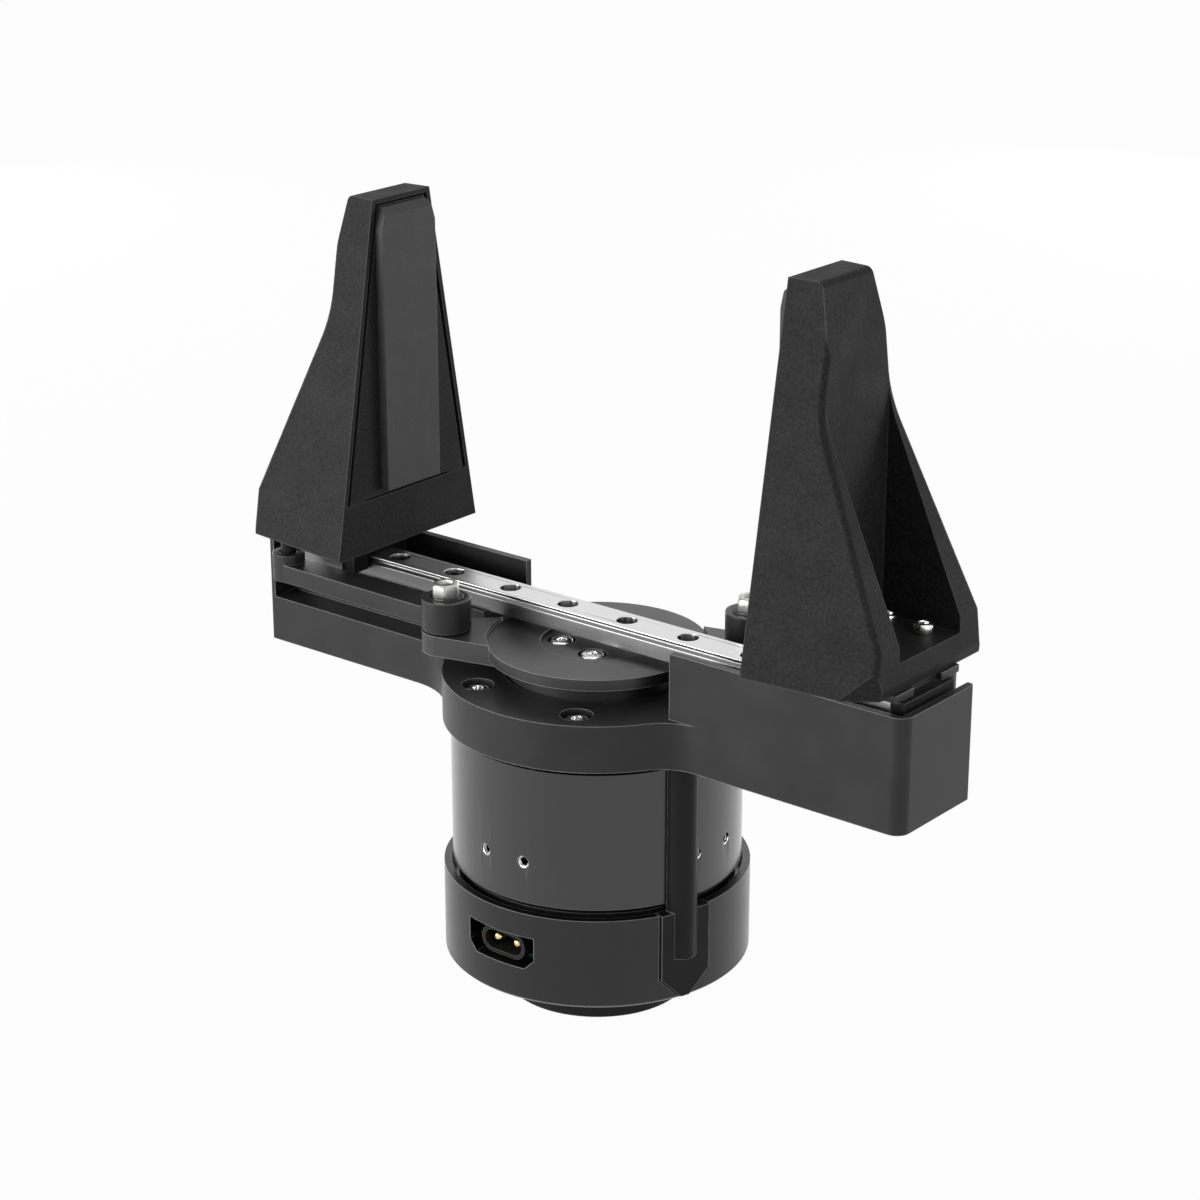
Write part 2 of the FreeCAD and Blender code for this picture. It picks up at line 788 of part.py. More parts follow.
def make_end_plates():
    """The rear and middle plates across the housing, and the two bearings they hold."""
    bearings = []
    for label, level in (("rear_plate", "rear_plate_z"), ("middle_plate", "middle_plate_z")):
        body = add_body(label)
        sketch = add_sketch(body, "XY", lift=level)
        add_circle(sketch, "housing_bore_radius")
        add_circle(sketch, "shaft_bearing_radius")
        pad(body, sketch, "end_plate_thickness")
        low = worth(level)
        bearings.append(ring(worth("shaft_bearing_radius"), worth("shaft_radius + shaft_play"), low,
                             low + worth("end_plate_thickness")))
    add_group("shaft_bearings", bearings)


def make_stator():
    """The stator core: a yoke with T-shaped teeth, and one coil round each tooth."""
    body = add_body("stator_core")
    yoke = add_sketch(body, "XY", lift="stator_z")
    add_circle(yoke, "housing_bore_radius")
    add_circle(yoke, "housing_bore_radius - stator_yoke")
    pad(body, yoke, "stator_length")
    root = "housing_bore_radius - stator_yoke / 2"
    shoe = "stator_bore_radius"
    tooth = add_sketch(body, "XY", lift="stator_z")
    add_outline(tooth, [
        (shoe, "-shoe_width / 2"),
        (f"{shoe} + shoe_thickness", "-shoe_width / 2"),
        (f"{shoe} + 1.5 * shoe_thickness", "-tooth_width / 2"),
        (root, "-tooth_width / 2"),
        (root, "tooth_width / 2"),
        (f"{shoe} + 1.5 * shoe_thickness", "tooth_width / 2"),
        (f"{shoe} + shoe_thickness", "shoe_width / 2"),
        (shoe, "shoe_width / 2"),
    ])
    repeat_round(body, pad(body, tooth, "stator_length"), "stator_teeth")
    coil = make_coil()
    count = int(worth("stator_teeth"))
    add_group("stator_windings", [turned(coil, 360 * step / count) for step in range(count)])


def make_coil():
    """One coil: a frame round a stator tooth at +X, from the shoe to the yoke."""
    inner = worth("stator_bore_radius + 1.5 * shoe_thickness")
    width = worth("tooth_width")
    wall = worth("coil_thickness")
    outer = worth("housing_bore_radius - stator_yoke")
    length = math.sqrt(outer ** 2 - (width / 2 + wall) ** 2) - inner
    low = worth("stator_z")
    height = worth("stator_length")
    around = Part.makeBox(length, width + 2 * wall, height + 2 * wall,
                          FreeCAD.Vector(inner, -width / 2 - wall, low - wall))
    return around.cut(Part.makeBox(length, width, height, FreeCAD.Vector(inner, -width / 2, low)))


def make_rotor():
    """The rotor: shaft and hub in one, magnets round its rim and the encoder's magnet on its tail."""
    body = add_body("rotor_hub")
    low = "stator_z"
    high = "(stator_z + stator_length)"
    web = f"({low} + {high} - rotor_web) / 2"
    revolve(body, [
        ("0", "shaft_foot"),
        ("shaft_radius", "shaft_foot"),
        ("shaft_radius", web),
        ("rotor_radius - rotor_rim", web),
        ("rotor_radius - rotor_rim", low),
        ("rotor_radius", low),
        ("rotor_radius", high),
        ("rotor_radius - rotor_rim", high),
        ("rotor_radius - rotor_rim", f"{web} + rotor_web"),
        ("shaft_radius", f"{web} + rotor_web"),
        ("shaft_radius", "gear_top"),
        ("0", "gear_top"),
    ])
    count = int(worth("magnet_count"))
    span = 360 / count - worth("magnet_spacing")
    base = FreeCAD.Vector(0, 0, worth("stator_z"))
    height = worth("stator_length")
    magnet = Part.makeCylinder(worth("magnet_radius"), height, base, UP, span)
    magnet = magnet.cut(Part.makeCylinder(worth("rotor_radius"), height, base))
    add_group("rotor_magnets", [turned(magnet, 360 * step / count) for step in range(count)])
    encoder = add_body("encoder_magnet")
    sketch = add_sketch(encoder, "XY", lift="shaft_foot")
    add_circle(sketch, "encoder_radius")
    pad(encoder, sketch, "encoder_height", reverse=True)


# Planetary stage


def tooth_angles(teeth, radius, pitch_radius, thickness):
    """Half the angle of an involute tooth at a radius, in radians."""
    pressure = math.radians(worth("gear_pressure_angle"))
    base = pitch_radius * math.cos(pressure)
    here = math.acos(min(1.0, base / radius))
    return thickness / (2 * pitch_radius) + (math.tan(pressure) - pressure) - (math.tan(here) - here)


def gear_outline(teeth, inner, outer, thickness, phase):
    """A closed outline of straight-sided teeth between two radii, a tooth at the phase angle."""
    pitch_radius = worth("gear_module") * teeth / 2
    low = tooth_angles(teeth, inner, pitch_radius, thickness)
    high = tooth_angles(teeth, outer, pitch_radius, thickness)
    points = []
    for step in range(teeth):
        middle = math.radians(phase) + 2 * math.pi * step / teeth
        for radius, angle in ((inner, -low), (outer, -high), (outer, high), (inner, low)):
            point = FreeCAD.Vector(radius, 0, 0)
            points.append(FreeCAD.Rotation(UP, math.degrees(middle + angle)).multVec(point))
    return Part.makePolygon(points + points[:1])


def make_gears():
    """Sun gear, ring gear and the planet gears on their pins, all in mesh."""
    module = worth("gear_module")
    slack = worth("gear_backlash")
    width = worth("gear_width")
    low = worth("gear_z")
    thickness = math.pi * module / 2 - slack
    rise = FreeCAD.Vector(0, 0, width)

    def external(teeth, bore, phase):
        pitch_radius = module * teeth / 2
        root = pitch_radius - 1.2 * module
        outline = gear_outline(teeth, root, pitch_radius + 0.9 * module, thickness, phase)
        blank = Part.Face(outline).extrude(rise)
        return moved(blank.cut(Part.makeCylinder(bore, width)), 0, 0, low)

    sun_teeth = int(worth("sun_teeth"))
    planet_teeth = int(worth("planet_teeth"))
    count = int(worth("planet_count"))
    orbit = worth("orbit_radius")
    add_feature("sun_gear", external(sun_teeth, worth("shaft_radius"), 0))
    pin = Part.makeCylinder(worth("planet_pin_radius"), worth("carrier_z") - low,
                            FreeCAD.Vector(orbit, 0, low))
    planet = moved(external(planet_teeth, worth("planet_pin_radius + planet_pin_play"), 0), orbit, 0, 0)
    for step in range(count):
        add_feature(f"planet_gear_{step + 1}", turned(planet, 360 * step / count))
    add_group("planet_pins", [turned(pin, 360 * step / count) for step in range(count)])
    ring_teeth = int(worth("ring_teeth"))
    ring_pitch = module * ring_teeth / 2
    space = math.pi * module / 2 + slack
    hollow = gear_outline(ring_teeth, ring_pitch - 0.9 * module, ring_pitch + 1.2 * module, space, 0)
    blank = Part.makeCylinder(worth("housing_bore_radius"), width)
    add_feature("ring_gear", moved(blank.cut(Part.Face(hollow).extrude(rise)), 0, 0, low))


# Output flange, its bearing and the crank


def make_flange():
    """The output flange: the planet carrier below, then a neck up to the crank's seat."""
    body = add_body("output_flange")
    revolve(body, [
        ("flange_bore_radius", "carrier_z"),
        ("carrier_radius", "carrier_z"),
        ("carrier_radius", "carrier_top"),
        ("flange_radius", "carrier_top"),
        ("flange_radius", "disc_z"),
        ("flange_bore_radius", "disc_z"),
    ])
    sketch = add_sketch(body, "XY", lift="disc_z")
    add_crank_screw_circles(sketch, "crank_screw_shank", "crank_angle")
    pocket(body, sketch, "crank_screw_bite")


def make_output_bearing():
    """Two races with rollers between them. The rollers bear on the outer race."""
    low = worth("bearing_z")
    high = worth("plate_z")
    outer = worth("bearing_radius")
    inner = worth("flange_radius")
    race = worth("bearing_race")
    add_feature("output_bearing_outer", ring(outer, outer - race, low, high))
    add_feature("output_bearing_inner", ring(inner + race, inner, low, high))
    radius = (outer - inner - 2 * race - worth("roller_play")) / 2
    margin = race / 2
    roller = moved(prism(12, radius, low + margin, high - margin), outer - race - radius, 0, 0)
    count = int(worth("roller_count"))
    add_group("bearing_rollers", [turned(roller, 360 * step / count) for step in range(count)])


def add_crank_screw_circles(sketch, radius, turn="0"):
    """A circle at each of the crank's four screws."""
    for quarter in ("0", "90", "180", "270"):
        add_circle(sketch, radius, f"crank_screw_circle / 2 * cos({turn} + {quarter})",
                   f"crank_screw_circle / 2 * sin({turn} + {quarter})")


def make_crank():
    """The crank: a disc with two thick arms, drawn with its arms along X and turned to the open pose."""
    body = add_body("crank", turn="crank_angle")
    disc = add_sketch(body, "XY", lift="disc_z")
    add_circle(disc, "disc_radius")
    pad(body, disc, "disc_thickness")
    root = "(crank_throw - arm_run)"
    reach = "(crank_throw + arm_end_radius * sin(arm_slope))"
    half = "(arm_end_radius * cos(arm_slope))"
    for hand in ("", "-"):
        arm = add_sketch(body, "XY", lift="arm_z")
        corners = [
            (hand + root, f"{hand}1 * -arm_root_half"),
            (hand + reach, f"{hand}1 * -{half}", "arm_end_radius", 1),
            (hand + reach, f"{hand}1 * {half}"),
            (hand + root, f"{hand}1 * arm_root_half"),
        ]
        add_outline(arm, corners)
        pad(body, arm, "arm_thickness")
    seat = add_sketch(body, "XY", lift="arm_top + 1")
    add_circle(seat, "disc_radius")
    pocket(body, seat, "1 + arm_step")
    under = add_sketch(body, "XY", lift="disc_z")
    add_circle(under, "flange_radius + flange_play")
    pocket(body, under, "disc_z - arm_z + 1")
    hub = add_sketch(body, "XY", lift="disc_top")
    add_circle(hub, "hub_radius")
    pocket(body, hub, "hub_recess")
    sinks = add_sketch(body, "XY", lift="disc_top")
    add_crank_screw_circles(sinks, "crank_screw_bore")
    pocket(body, sinks, "crank_screw_sink")
    holes = add_sketch(body, "XY", lift="disc_top")
    add_crank_screw_circles(holes, "crank_screw_shank")
    for hand in ("", "-"):
        add_circle(holes, "arm_hole_radius", hand + "crank_throw")
    pocket(body, holes, "disc_top - arm_z + 1")


def make_crank_screws():
    """The four screws that hold the crank to the output flange."""
    one = screw(worth("crank_screw_head"), worth("crank_screw_head_height"), worth("crank_screw_shank"),
                worth("disc_thickness - crank_screw_sink + crank_screw_bite"))
    level = worth("disc_top - crank_screw_sink")
    start = worth("crank_angle")
    count = int(worth("crank_screws"))
    first = moved(one, worth("crank_screw_circle / 2"), 0, level)
    add_group("crank_screws", [turned(first, start + 360 * step / count) for step in range(count)])


# Base plate and rail


def make_plate():
    """The base plate: a disc with two wings, a wall round two sides of each wing and a rib under the rail."""
    body = add_body("base_plate")
    disc = add_sketch(body, "XY", lift="plate_z")
    add_circle(disc, "plate_radius")
    pad(body, disc, "plate_thickness")
    wings = add_sketch(body, "XY", lift="plate_z")
    add_outline(wings, [
        ("0", "-wing_high_side"),
        ("wing_reach", "-wing_high_side"),
        ("wing_reach", "wing_low_side"),
        ("0", "wing_low_side"),
        ("0", "wing_high_side"),
        ("-wing_reach", "wing_high_side"),
        ("-wing_reach", "-wing_low_side"),
        ("0", "-wing_low_side"),
    ])
    pad(body, wings, "plate_thickness")
    reach = worth("wing_reach")
    high = worth("wing_high_side")

    def inner_corner(high_side):
        def wanted(middle, start, end):
            on_high = abs(abs(middle.y) - high) < 1e-3
            return upright(start, end) and 1 < abs(middle.x) < reach - 1 and on_high == high_side
        return wanted

    soften(body, "Fillet", "high_side_fillet", inner_corner(True))
    soften(body, "Fillet", "low_side_fillet", lambda middle, start, end: (
        inner_corner(False)(middle, start, end) and abs(middle.y) < high - 1e-3))
    walls = add_sketch(body, "XY", lift="plate_top")
    inner = "(wing_reach - wall_thickness)"
    for hand in ("", "-"):
        add_outline(walls, [
            (hand + "wall_start", f"{hand}1 * -wing_high_side"),
            (hand + "wing_reach", f"{hand}1 * -wing_high_side"),
            (hand + "wing_reach", f"{hand}1 * wing_low_side"),
            (hand + inner, f"{hand}1 * wing_low_side"),
            (hand + inner, f"{hand}1 * -(wing_high_side - wall_thickness)"),
            (hand + "wall_start", f"{hand}1 * -(wing_high_side - wall_thickness)"),
        ])
    pad(body, walls, "wall_height")

    def wing_corner(high_side):
        return lambda middle, start, end: (
            upright(start, end) and abs(abs(middle.x) - reach) < 1e-3
            and (middle.x * middle.y < 0) == high_side)

    soften(body, "Fillet", "wing_high_corner", wing_corner(True))
    soften(body, "Fillet", "wing_low_corner", wing_corner(False))
    ribs = add_sketch(body, "XY", lift="plate_top")
    for hand in ("", "-"):
        add_outline(ribs, [
            (hand + "rib_start", f"{hand}1 * -rib_width / 2"),
            (hand + inner, f"{hand}1 * -rib_width / 2"),
            (hand + inner, f"{hand}1 * rib_width / 2"),
            (hand + "rib_start", f"{hand}1 * rib_width / 2"),
        ])
    pad(body, ribs, "rail_z - plate_top")
    bore = add_sketch(body, "XY", lift="plate_top")
    add_circle(bore, "flange_radius + flange_play")
    add_plate_screw_circles(bore, "plate_screw_shank")
    pocket(body, bore, "plate_thickness + 1")
    sinks = add_sketch(body, "XY", lift="plate_top")
    add_plate_screw_circles(sinks, "plate_screw_bore")
    pocket(body, sinks, "plate_screw_sink")
    taps = add_sketch(body, "XY", lift="rail_z")
    for place in rail_screw_places():
        add_circle(taps, "rail_screw_shank", place)
    pocket(body, taps, "rail_screw_bite")


def rail_screw_places():
    """Where the rail's screws stand along X, as expressions: in the last holes at each end."""
    steps = range(int(worth("rail_screws_each_end")))
    return [f"{hand} * (rail_row / 2 - {step} * rail_pitch)" for hand in (-1, 1) for step in steps]


def make_plate_screws():
    """The four screws that hold the plate to the motor housing."""
    one = screw(worth("plate_screw_head"), worth("plate_screw_head_height"), worth("plate_screw_shank"),
                worth("plate_thickness - plate_screw_sink + plate_screw_bite"))
    first = moved(one, worth("plate_screw_circle / 2"), 0, worth("plate_top - plate_screw_sink"))
    angle = worth("plate_screw_angle")
    add_group("plate_screws", [turned(first, turn) for turn in (angle, 180 - angle, 180 + angle, -angle)])


def make_rail():
    """The rail: a grooved bar with a row of counterbored holes."""
    body = add_body("linear_rail")
    section = add_sketch(body, "YZ")
    high = "(rail_top - rail_groove_drop)"
    low = f"({high} - rail_groove_height)"
    half = "(rail_width / 2)"
    inner = "(rail_width / 2 - rail_groove_depth)"
    right = [
        (half, "rail_z"),
        (half, low),
        (inner, f"{low} + rail_groove_height / 2"),
        (inner, f"{high} - rail_groove_height / 4"),
        (half, high),
        (half, "rail_top"),
    ]
    left = [("-" + across, along) for across, along in reversed(right)]
    add_outline(section, right + left)
    pad(body, section, "rail_length", middle=True)
    first = "-rail_row / 2"
    for radius, depth in (("rail_sink_radius", "rail_sink_depth"), ("rail_hole_radius", "rail_height + 1")):
        sketch = add_sketch(body, "XY", lift="rail_top")
        add_circle(sketch, radius, first)
        hole = pocket(body, sketch, depth)
        repeat_along(body, hole, "rail_row", "rail_holes")


def make_rail_screws():
    """The screws in the holes near the rail's ends, where the ribs carry it."""
    one = screw(worth("rail_screw_head"), worth("rail_screw_head_height"), worth("rail_screw_shank"),
                worth("rail_height - rail_sink_depth + rail_screw_bite"))
    level = worth("rail_top - rail_sink_depth")
    add_group("rail_screws", [moved(one, worth(place), 0, level) for place in rail_screw_places()])


# Links, carriages and fingers, each made at +X and turned for the other side


def make_link(side, turn):
    """One link: a bar from the boss over the crank's pin to the post under the finger."""
    body = add_body(f"link_{side}", turn=turn)
    bar = add_sketch(body, "XY", lift="bar_z")
    add_outline(bar, [
        ("crank_pin_x", "pin_side - bar_width / 2"),
        ("link_pin_x", "pin_side - bar_width / 2", "half", 1),
        ("link_pin_x", "pin_side + bar_width / 2"),
        ("crank_pin_x", "pin_side + bar_width / 2"),
    ])
    pad(body, bar, "bar_thickness")
    boss = add_sketch(body, "XY", lift="link_z")
    add_circle(boss, "link_boss_radius", "crank_pin_x", "pin_side")
    pad(body, boss, "link_boss_height")
    post = add_sketch(body, "XY", lift="bar_z")
    add_circle(post, "post_radius", "link_pin_x", "pin_side")
    pad(body, post, "link_top - bar_z")
    seat = add_sketch(body, "XY", lift="link_top")
    add_circle(seat, "link_bearing_radius", "crank_pin_x", "pin_side")
    pocket(body, seat, "link_bearing_height - link_bearing_proud")
    bores = add_sketch(body, "XY", lift="finger_z")
    add_circle(bores, "link_bolt_shank", "crank_pin_x", "pin_side")
    add_circle(bores, "link_pin_radius + link_pin_play", "link_pin_x", "pin_side")
    pocket(body, bores, "finger_z - link_z + 1")


def make_link_hardware(side, degrees):
    """The bearing ring and the bolt in a link's boss, and the pin that the finger turns it on."""
    pin_x = worth("crank_pin_x")
    pin_y = worth("pin_side")
    top = worth("link_top + link_bearing_proud")
    height = worth("link_bearing_height")
    collar = moved(ring(worth("link_bearing_radius"), worth("link_bolt_shank"), 0, height), pin_x, pin_y,
                   top - height)
    add_feature(f"link_bearing_{side}", turned(collar, degrees))
    bolt = moved(screw(worth("link_bolt_head"), worth("link_bolt_head_height"), worth("link_bolt_shank"),
                       top - worth("link_z")), pin_x, pin_y, top)
    add_feature(f"link_bolt_{side}", turned(bolt, degrees))
    foot = FreeCAD.Vector(worth("link_pin_x"), pin_y, worth("bar_z"))
    pin = Part.makeCylinder(worth("link_pin_radius"), worth("finger_z + link_pin_grip - bar_z"), foot)
    add_feature(f"link_pin_{side}", turned(pin, degrees))


def carriage_section(sketch, half, low, high):
    """A block's section: a channel that hangs over the rail."""
    channel = "(rail_width / 2 + block_rail_play)"
    roof = "(rail_top + block_rail_play)"
    add_outline(sketch, [
        (channel, low),
        (half, low),
        (half, high),
        (f"-{half}", high),
        (f"-{half}", low),
        (f"-{channel}", low),
        (f"-{channel}", roof),
        (channel, roof),
    ])


def add_finger_screw_circles(sketch, radius):
    """A circle at each of a finger's four screws."""
    for along in ("-1", "1"):
        for across in ("-1", "1"):
            add_circle(sketch, radius, f"carriage_x + {along} * finger_screw_along / 2",
                       f"{across} * finger_screw_across / 2")


def make_carriage(side, turn, degrees):
    """A carriage: a steel block, two plastic end caps and the thin adapter plate under the finger."""
    block = add_body(f"carriage_block_{side}", turn=turn)
    section = add_sketch(block, "YZ", lift="carriage_x - block_length / 2")
    carriage_section(section, "(block_width / 2)", "block_z", "block_top")
    pad(block, section, "block_length")
    soften(block, "Chamfer", "block_edge", lambda middle, start, end: (
        abs(middle.z - worth("block_top")) < 1e-3 and abs(abs(middle.y) - worth("block_width / 2")) < 1e-3))
    taps = add_sketch(block, "XY", lift="block_top")
    add_finger_screw_circles(taps, "finger_screw_shank")
    pocket(block, taps, "finger_screw_bite")
    cap = make_cap("(block_width / 2 - cap_inset)", "block_z + cap_inset", "block_top - cap_inset")
    ends = [moved(cap, worth("carriage_x + block_length / 2"), 0, 0),
            moved(cap, worth("carriage_x - block_length / 2 - cap_length"), 0, 0)]
    add_group(f"carriage_end_caps_{side}", [turned(end, degrees) for end in ends])
    plate = add_body(f"carriage_plate_{side}", turn=turn)
    outline = add_sketch(plate, "XY", lift="block_top")
    half = "(adapter_width / 2)"
    near = "(carriage_x - adapter_length / 2)"
    far = "(carriage_x + adapter_length / 2)"
    notch = "(adapter_notch_width / 2)"
    add_outline(outline, [
        (near, f"-{half}"),
        (far, f"-{half}"),
        (far, f"-{notch}"),
        (f"{far} - adapter_notch", f"-{notch}"),
        (f"{far} - adapter_notch", notch),
        (far, notch),
        (far, half),
        (near, half),
    ])
    pad(plate, outline, "adapter_thickness")
    holes = add_sketch(plate, "XY", lift="finger_z")
    add_finger_screw_circles(holes, "finger_screw_shank")
    pocket(plate, holes, "adapter_thickness + 1")


def make_cap(half, low, high):
    """An end cap from X = 0, in the section of the block but a little smaller."""
    channel = worth("rail_width / 2 + block_rail_play")
    roof = worth("rail_top + block_rail_play")
    corners = [(channel, worth(low)), (worth(half), worth(low)), (worth(half), worth(high)),
               (-worth(half), worth(high)), (-worth(half), worth(low)), (-channel, worth(low)),
               (-channel, roof), (channel, roof)]
    points = [FreeCAD.Vector(0, across, along) for across, along in corners]
    face = Part.Face(Part.makePolygon(points + points[:1]))
    return face.extrude(FreeCAD.Vector(worth("cap_length"), 0, 0))


def finger_half(height):
    """Half the finger's width at its inner face, at a height above its foot."""
    return f"(finger_base_half - (finger_base_half - finger_top_half) * ({height}) / finger_height)"


def make_finger(side, turn):
    """One finger: a tapered blade that flares into two flanges round its open back."""
    body = add_body(f"finger_{side}", turn=turn)
    sections = []
    for inset, taper in (("0", "0"), ("finger_depth", "finger_taper")):
        section = add_sketch(body, "YZ", lift=f"finger_open + {inset}")
        add_outline(section, [
            (f"-(finger_base_half - {taper})", "finger_z"),
            (f"finger_base_half - {taper}", "finger_z"),
            (f"finger_top_half - {taper}", "finger_top"),
            (f"-(finger_top_half - {taper})", "finger_top"),
        ])
        sections.append(section)
    blank = body.newObject("PartDesign::AdditiveLoft", body.Label + "_loft")
    blank.Profile = sections[0]
    blank.Sections = [sections[1]]
    blank.Ruled = True
    finish_feature(body, blank)
    outside = add_sketch(body, "XZ")
    clear = "(finger_open + finger_depth + 5)"
    add_outline(outside, [
        ("finger_open + tip_depth", "finger_top + 5"),
        ("finger_open + tip_depth", "finger_top"),
        ("finger_open + core_depth", "finger_z + core_high"),
        ("finger_open + core_depth", "bend_z", "bend_radius", 1),
        ("flare_x", "flare_z"),
        ("heel_x", "heel_z"),
        ("heel_x", "finger_z + foot_height"),
        ("heel_x - foot_inset", "finger_z"),
        ("heel_x - foot_inset", "finger_z - 1"),
        (clear, "finger_z - 1"),
        (clear, "finger_top + 5"),
    ])
    pocket(body, outside, "4 * finger_base_half", middle=True)
    low = worth("finger_z + foot_height")
    bend_low = worth("flare_z")
    heel = worth("heel_x")
    soften(body, "Fillet", "flange_round", lambda middle, start, end: (
        start.y * end.y > 0 and low - 0.01 < min(start.z, end.z) and max(start.z, end.z) < bend_low + 0.01
        and max(start.x, end.x) > heel - 0.01))
    back = add_sketch(body, "YZ", lift="finger_open + core_depth + pocket_skin")
    add_box_outline(back, "-pocket_half", "pocket_half", "finger_z + pocket_floor", "finger_z + core_high")
    pocket(body, back, "finger_depth", reverse=True)
    cut_corner(body)
    recess = add_sketch(body, "YZ", lift="finger_open")
    insert_outline(recess, "0", "0")
    pocket(body, recess, "insert_depth", reverse=True)
    holes = add_sketch(body, "XY", lift="finger_z + pocket_floor")
    add_finger_screw_circles(holes, "finger_screw_shank")
    pocket(body, holes, "pocket_floor + 1")
    grip = add_sketch(body, "XY", lift="finger_z")
    add_circle(grip, "link_pin_radius", "link_pin_x", "pin_side")
    pocket(body, grip, "link_pin_grip", reverse=True)
    top = worth("finger_top")
    outer = worth("finger_open + tip_depth")
    soften(body, "Fillet", "tip_round", lambda middle, start, end: (
        abs(middle.x - outer) < 0.01 and abs(middle.z - top) < 0.01))


def cut_corner(body):
    """Cut the lower outer corner on the link's far side with a face that leans back as it rises."""
    sections = []
    for lift, along in (("finger_z", "corner_along"), ("finger_z + corner_rise", "corner_along / 10")):
        section = add_sketch(body, "XY", lift=lift)
        side = "(finger_base_half - finger_taper + 0.7)"
        inner = f"(corner_side + ({side} - corner_side) * (1 - ({along}) / corner_along))"
        add_outline(section, [
            (f"finger_open + finger_depth - ({along})", f"-{side}"),
            ("finger_open + finger_depth + 1", f"-{inner}"),
            ("finger_open + finger_depth + 1", f"-({side} + 9)"),
            (f"finger_open + finger_depth - ({along})", f"-({side} + 9)"),
        ])
        sections.append(section)
    cut = body.newObject("PartDesign::SubtractiveLoft", body.Label + "_corner")
    cut.Profile = sections[0]
    cut.Sections = [sections[1]]
    cut.Ruled = True
    finish_feature(body, cut)


def insert_outline(sketch, gap, side_gap, slit=False):
    """The trapezoid of a finger's inner face inside its margin, smaller by a gap at the top and the sides.

    A slit as high as the gap runs along part of its foot.
    """
    low = "insert_bottom"
    high = f"(finger_height - insert_margin - {gap})"
    rim = f"(insert_margin + {side_gap})"
    foot = [(f"-({finger_half(low)} - {rim})", f"finger_z + {low}")]
    if slit:
        foot.append(("-seam_half", f"finger_z + {low}"))
        foot.append(("-seam_half", f"finger_z + {low} + {gap}"))
        foot.append(("seam_half", f"finger_z + {low} + {gap}"))
        foot.append(("seam_half", f"finger_z + {low}"))
    foot.append((f"{finger_half(low)} - {rim}", f"finger_z + {low}"))
    add_outline(sketch, foot + [
        (f"{finger_half(high)} - {rim}", f"finger_z + {high}"),
        (f"-({finger_half(high)} - {rim})", f"finger_z + {high}"),
    ])


def make_finger_faces(side, turn):
    """The insert let into a finger's inner face, and the grip pad raised on it."""
    insert = add_body(f"finger_insert_{side}", turn=turn)
    face = add_sketch(insert, "YZ", lift="finger_open")
    insert_outline(face, "insert_gap", "insert_side_gap", slit=True)
    pad(insert, face, "insert_depth")
    grip = add_body(f"grip_pad_{side}", turn=turn)
    outline = add_sketch(grip, "YZ", lift="finger_open")
    high = "(finger_height - insert_margin - insert_gap - pad_margin)"
    top_half = f"({finger_half(high)} - insert_margin - insert_side_gap - pad_margin)"
    add_outline(outline, [
        ("-pad_half", "finger_z + insert_bottom + insert_gap + pad_lift"),
        ("pad_half", "finger_z + insert_bottom + insert_gap + pad_lift"),
        ("pad_half", "finger_top - pad_shoulder"),
        (top_half, f"finger_z + {high}"),
        (f"-{top_half}", f"finger_z + {high}"),
        ("-pad_half", "finger_top - pad_shoulder"),
    ])
    pad(grip, outline, "pad_thickness", reverse=True)
    front = worth("finger_open - pad_thickness")
    top = worth(f"finger_z + {high}")
    soften(grip, "Chamfer", "pad_bevel", lambda middle, start, end: (
        abs(start.x - front) < 1e-3 and abs(end.x - front) < 1e-3 and abs(middle.z - top) < 1e-3))


def make_finger_screws(side, degrees):
    """The four screws on the floor of a finger's back, down into the carriage block."""
    one = screw(worth("finger_screw_head"), worth("finger_screw_head_height"), worth("finger_screw_shank"),
                worth("pocket_floor + adapter_thickness + finger_screw_bite"))
    level = worth("finger_z + pocket_floor")
    screws = []
    for along in (-1, 1):
        for across in (-1, 1):
            x = worth(f"carriage_x + {along} * finger_screw_along / 2")
            y = worth(f"{across} * finger_screw_across / 2")
            screws.append(turned(moved(one, x, y, level), degrees))
    add_group(f"finger_screws_{side}", screws)


def make_all():
    """Every piece, from the foot up."""
    make_boss()
    make_cup()
    make_column()
    make_housing()
    make_socket()
    make_socket_pins()
    make_board()
    make_end_plates()
    make_stator()
    make_rotor()
    make_gears()
    make_flange()
    make_output_bearing()
    make_plate()
    make_plate_screws()
    make_rail()
    make_rail_screws()
    make_crank()
    make_crank_screws()
    for side, degrees in (("right", 0), ("left", 180)):
        turn = str(degrees)
        make_link(side, turn)
        make_link_hardware(side, degrees)
        make_carriage(side, turn, degrees)
        make_finger(side, turn)
        make_finger_faces(side, turn)
        make_finger_screws(side, degrees)


def export_all():
    """Check every object and every piece, then write one STEP file for each piece."""
    doc.recompute()
    for item in doc.Objects:
        if "Invalid" in item.State or "Error" in item.State:
            raise RuntimeError(f"{item.Label} failed: {item.State}")
    for piece in PIECES:
        if piece.Shape.isNull() or not piece.Shape.isValid():
            raise RuntimeError(f"{piece.Label} has no valid shape")
    os.makedirs("parts", exist_ok=True)
    for piece in PIECES:
        piece.Shape.exportStep(f"parts/{piece.Label}.step")
        print(f"{piece.Label}: {len(piece.Shape.Solids)} solids, {piece.Shape.Volume:.1f} mm3")


make_all()
export_all()
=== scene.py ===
"""Looks of an electric two finger gripper, dressed around its solid frame. Every length is in metres."""

import json
import logging
import math
from collections.abc import Callable
from dataclasses import dataclass
from enum import Enum
from typing import ClassVar

import bpy
from mathutils import Matrix, Vector

